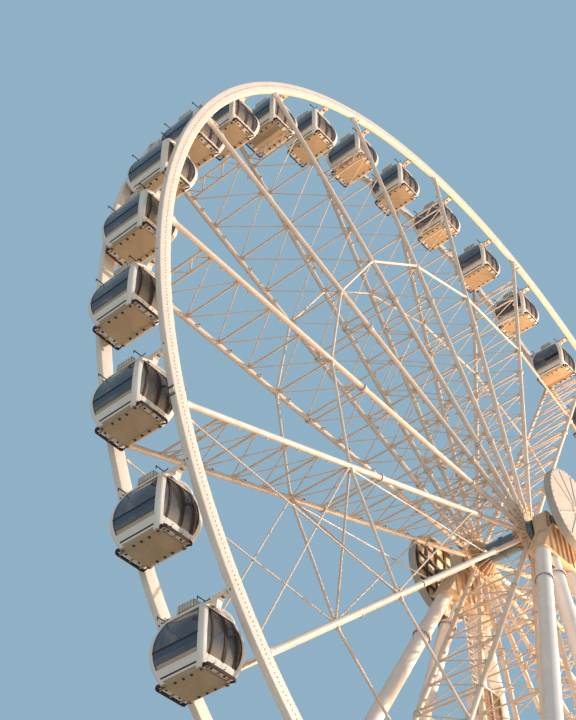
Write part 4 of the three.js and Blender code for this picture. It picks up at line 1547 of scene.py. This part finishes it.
# A lattice of dark bars over cushioned golden panels, on the side that faces the wheel
def addLattice(shape, side):
    d = discSize
    pitch, bar, deep = d["pitch"], d["bar"], d["barDepth"]
    inside = d["radius"] - d["wall"]
    lean = math.radians(d["lean"])
    ways = (Vector((math.cos(lean), 0, math.sin(lean))), Vector((-math.sin(lean), 0, math.cos(lean))))
    for k, along in enumerate(ways):
        depth = yAxis * side * (d["back"] + deep / 2 + 0.01 * k)
        for i in range(d["bars"]):
            offset = (i - (d["bars"] - 1) / 2) * pitch
            half = math.sqrt(inside ** 2 - offset ** 2) - 0.005
            centre = ways[1 - k] * offset + depth
            ends = [centre - along * half, centre + along * half]
            shape.wire(ends, bar * 1.414, 4, 2, yAxis, deep / 2 / bar)
    panelY = d["front"] - d["face"] - 0.004
    cells = [(i - (d["cells"] - 1) / 2) * pitch for i in range(d["cells"])]
    for middle in [ways[0] * a + ways[1] * b for a in cells for b in cells]:
        if middle.length > inside - 0.10:
            continue
        reach = min(1.0, (inside - 0.02 - middle.length) / (0.71 * pitch))
        rings = []
        for share, lift in d["cushion"]:
            half = share * pitch * reach
            corners = ((-half, -half), (half, -half), (half, half), (-half, half))
            ring = [middle + ways[0] * p + ways[1] * q + yAxis * side * (panelY - lift) for p, q in corners]
            rings.append(ring if side > 0 else ring[::-1])
        shape.skin(rings, 3, (False, True))
    shape.spindle((0, side * d["back"], 0), yAxis * side, [(0, 0.38), (0.02, 0.40), (0.30, 0.40)], 40, 2)
    shape.boltCircle((0, side * (d["back"] + 0.01), 0), yAxis * -side, d["bossBolts"])


for word, side in sides.items():
    disc = Shape()
    addDrum(disc, side)
    addLattice(disc, side)
    finishes = ["discPaint", "boltSteel", "latticePaint", "goldPanel"]
    makePiece(f"{word}_disc_body", disc, finishes, "frame", (f"{word}_hub_disc",))

print("stage: service housing")

serviceSize = {
    "low": (-0.6, 1.78, -8.5), "high": (0.9, 2.6, -6.6), "post": 0.08, "slats": 15, "slatTurn": 38,
    "rail": -8.2, "railHalf": 0.1, "plateHalf": 0.17, "boltGap": 0.13,
}
ladderSize = {
    "x": 0.2, "y": 2.45, "stile": 0.03, "rung": 0.017, "pitch": 0.30,
    "hoops": 6, "hoop": 0.36, "hoopY": -0.28, "hoopFlat": 0.62, "hoopSteps": 12,
}


def addHousing(shape):
    s = serviceSize
    (x0, y0, z0), (x1, y1, z1) = s["low"], s["high"]
    shape.block((x0 + 0.03, x1 - 0.03), (y0 + 0.07, y1 - 0.03), (z0 + 0.02, z1 - 0.04), 0.02)
    for zs in ((z1 - 0.07, z1), (z0, z0 + 0.07)):
        shape.block((x0, x1), (y0, y1), zs, 0.012)
    for xs in ((x0, x0 + s["post"]), (x1 - s["post"], x1)):
        for ys in ((y0, y0 + s["post"]), (y1 - s["post"], y1)):
            shape.block(xs, ys, (z0 + 0.06, z1 - 0.06))
    middle = (x0 + x1) / 2
    shape.block(about(middle, 0.03), (y0, y0 + 0.06), (z0 + 0.06, z1 - 0.06), 0.006)
    tilt = Matrix.Rotation(math.radians(s["slatTurn"]), 4, "X")
    for xs in ((x0 + 0.07, middle - 0.03), (middle + 0.03, x1 - 0.07)):
        shape.block(xs, (y0 + 0.062, y0 + 0.075), (z0 + 0.06, z1 - 0.06), 0.003, 3)
        for z in levelsBetween(z0 + 0.13, z1 - 0.13, s["slats"] - 1):
            turn = Matrix.Translation((0, y0 + 0.035, z)) @ tilt
            shape.block(xs, (-0.038, 0.038), (-0.006, 0.006), 0.002, 2, turn)
    shape.block((x0 - 0.005, x0 + 0.04), (y0 + 0.30, y0 + 0.40), (z0 + 0.5, z1 - 0.5), 0.006, 3)
    for z in (z0 + 0.16, z1 - 0.16):
        for y in (y0 + 0.16, y1 - 0.16):
            for x, way in ((x0 + 0.03, -1), (x1 - 0.03, 1)):
                shape.bolt((x, y, z), xAxis * way, 0.018, 0.02)


# The rail between the two inner legs that carries the housing
def addServiceRail(shape):
    s, z = serviceSize, serviceSize["rail"]
    half, plate, gap = s["railHalf"], s["plateHalf"], s["boltGap"]
    leg = legPoint("inner", 1, 1, z)
    y, end = leg.y, leg.x - legSize["radius"] * 1.02
    shape.block((-end, end), about(y, half), about(z, half), 0.02)
    for sx in (-1, 1):
        shape.block((sx * (end - 0.10), sx * (end - 0.04)), about(y, plate), about(z, plate), 0.008)
        for dy in (-gap, gap):
            for dz in (-gap, gap):
                shape.bolt((sx * (end - 0.10), y + dy, z + dz), xAxis * -sx, 0.018, 0.022)
    for x in (s["low"][0] + 0.2, s["high"][0] - 0.2):
        shape.block(about(x, half), (s["high"][1] - half, y), about(z, half), 0.015)


def addLadder(shape):
    v = ladderSize
    top, low = headSize["crownBottom"] - 0.005, serviceSize["high"][2] - 0.02
    for x in (-v["x"], v["x"]):
        shape.tube((x, v["y"], low), (x, v["y"], top), v["stile"], 10)
    for i in range(1, int((top - low) / v["pitch"])):
        z = low + i * v["pitch"]
        shape.tube((-v["x"], v["y"], z), (v["x"], v["y"], z), v["rung"], 8)
    strips = []
    for z in levelsBetween(low + 0.9, top - 0.2, v["hoops"] - 1):
        points = [(-v["x"], v["y"], z)]
        for k in range(v["hoopSteps"] + 1):
            t = math.radians(180 + 180 * k / v["hoopSteps"])
            y = v["y"] + v["hoopY"] + v["hoop"] * math.sin(t) * v["hoopFlat"]
            points.append((v["hoop"] * math.cos(t), y, z))
        points.append((v["x"], v["y"], z))
        shape.wire(points, 0.022, 6, 0, zAxis, 0.6)
        strips.append(points[3:12:2])
    for strip in zip(*strips):
        shape.wire(strip, 0.014, 6)


service = Shape()
addHousing(service)
addServiceRail(service)
addLadder(service)
finishes = ["legPaint", "boltSteel", "slatPaint", "liningPaint"]
makePiece("service_body", service, finishes, "frame", ("service_housing",))

print("stage: floor")

floorPlane = {"x": (-10.8, 11.0), "y": (-6.5, 6.5), "z": 0.0}


def makeFloor(v):
    mesh = bpy.data.meshes.new("studio_floor")
    (x0, x1), (y0, y1), z = v["x"], v["y"], v["z"]
    mesh.from_pydata([(x0, y0, z), (x1, y0, z), (x1, y1, z), (x0, y1, z)], [], [(0, 1, 2, 3)])
    mesh.materials.append(finish["floorPaint"])
    ground = bpy.data.objects.new("studio_floor", mesh)
    bpy.context.scene.collection.objects.link(ground)


makeFloor(floorPlane)
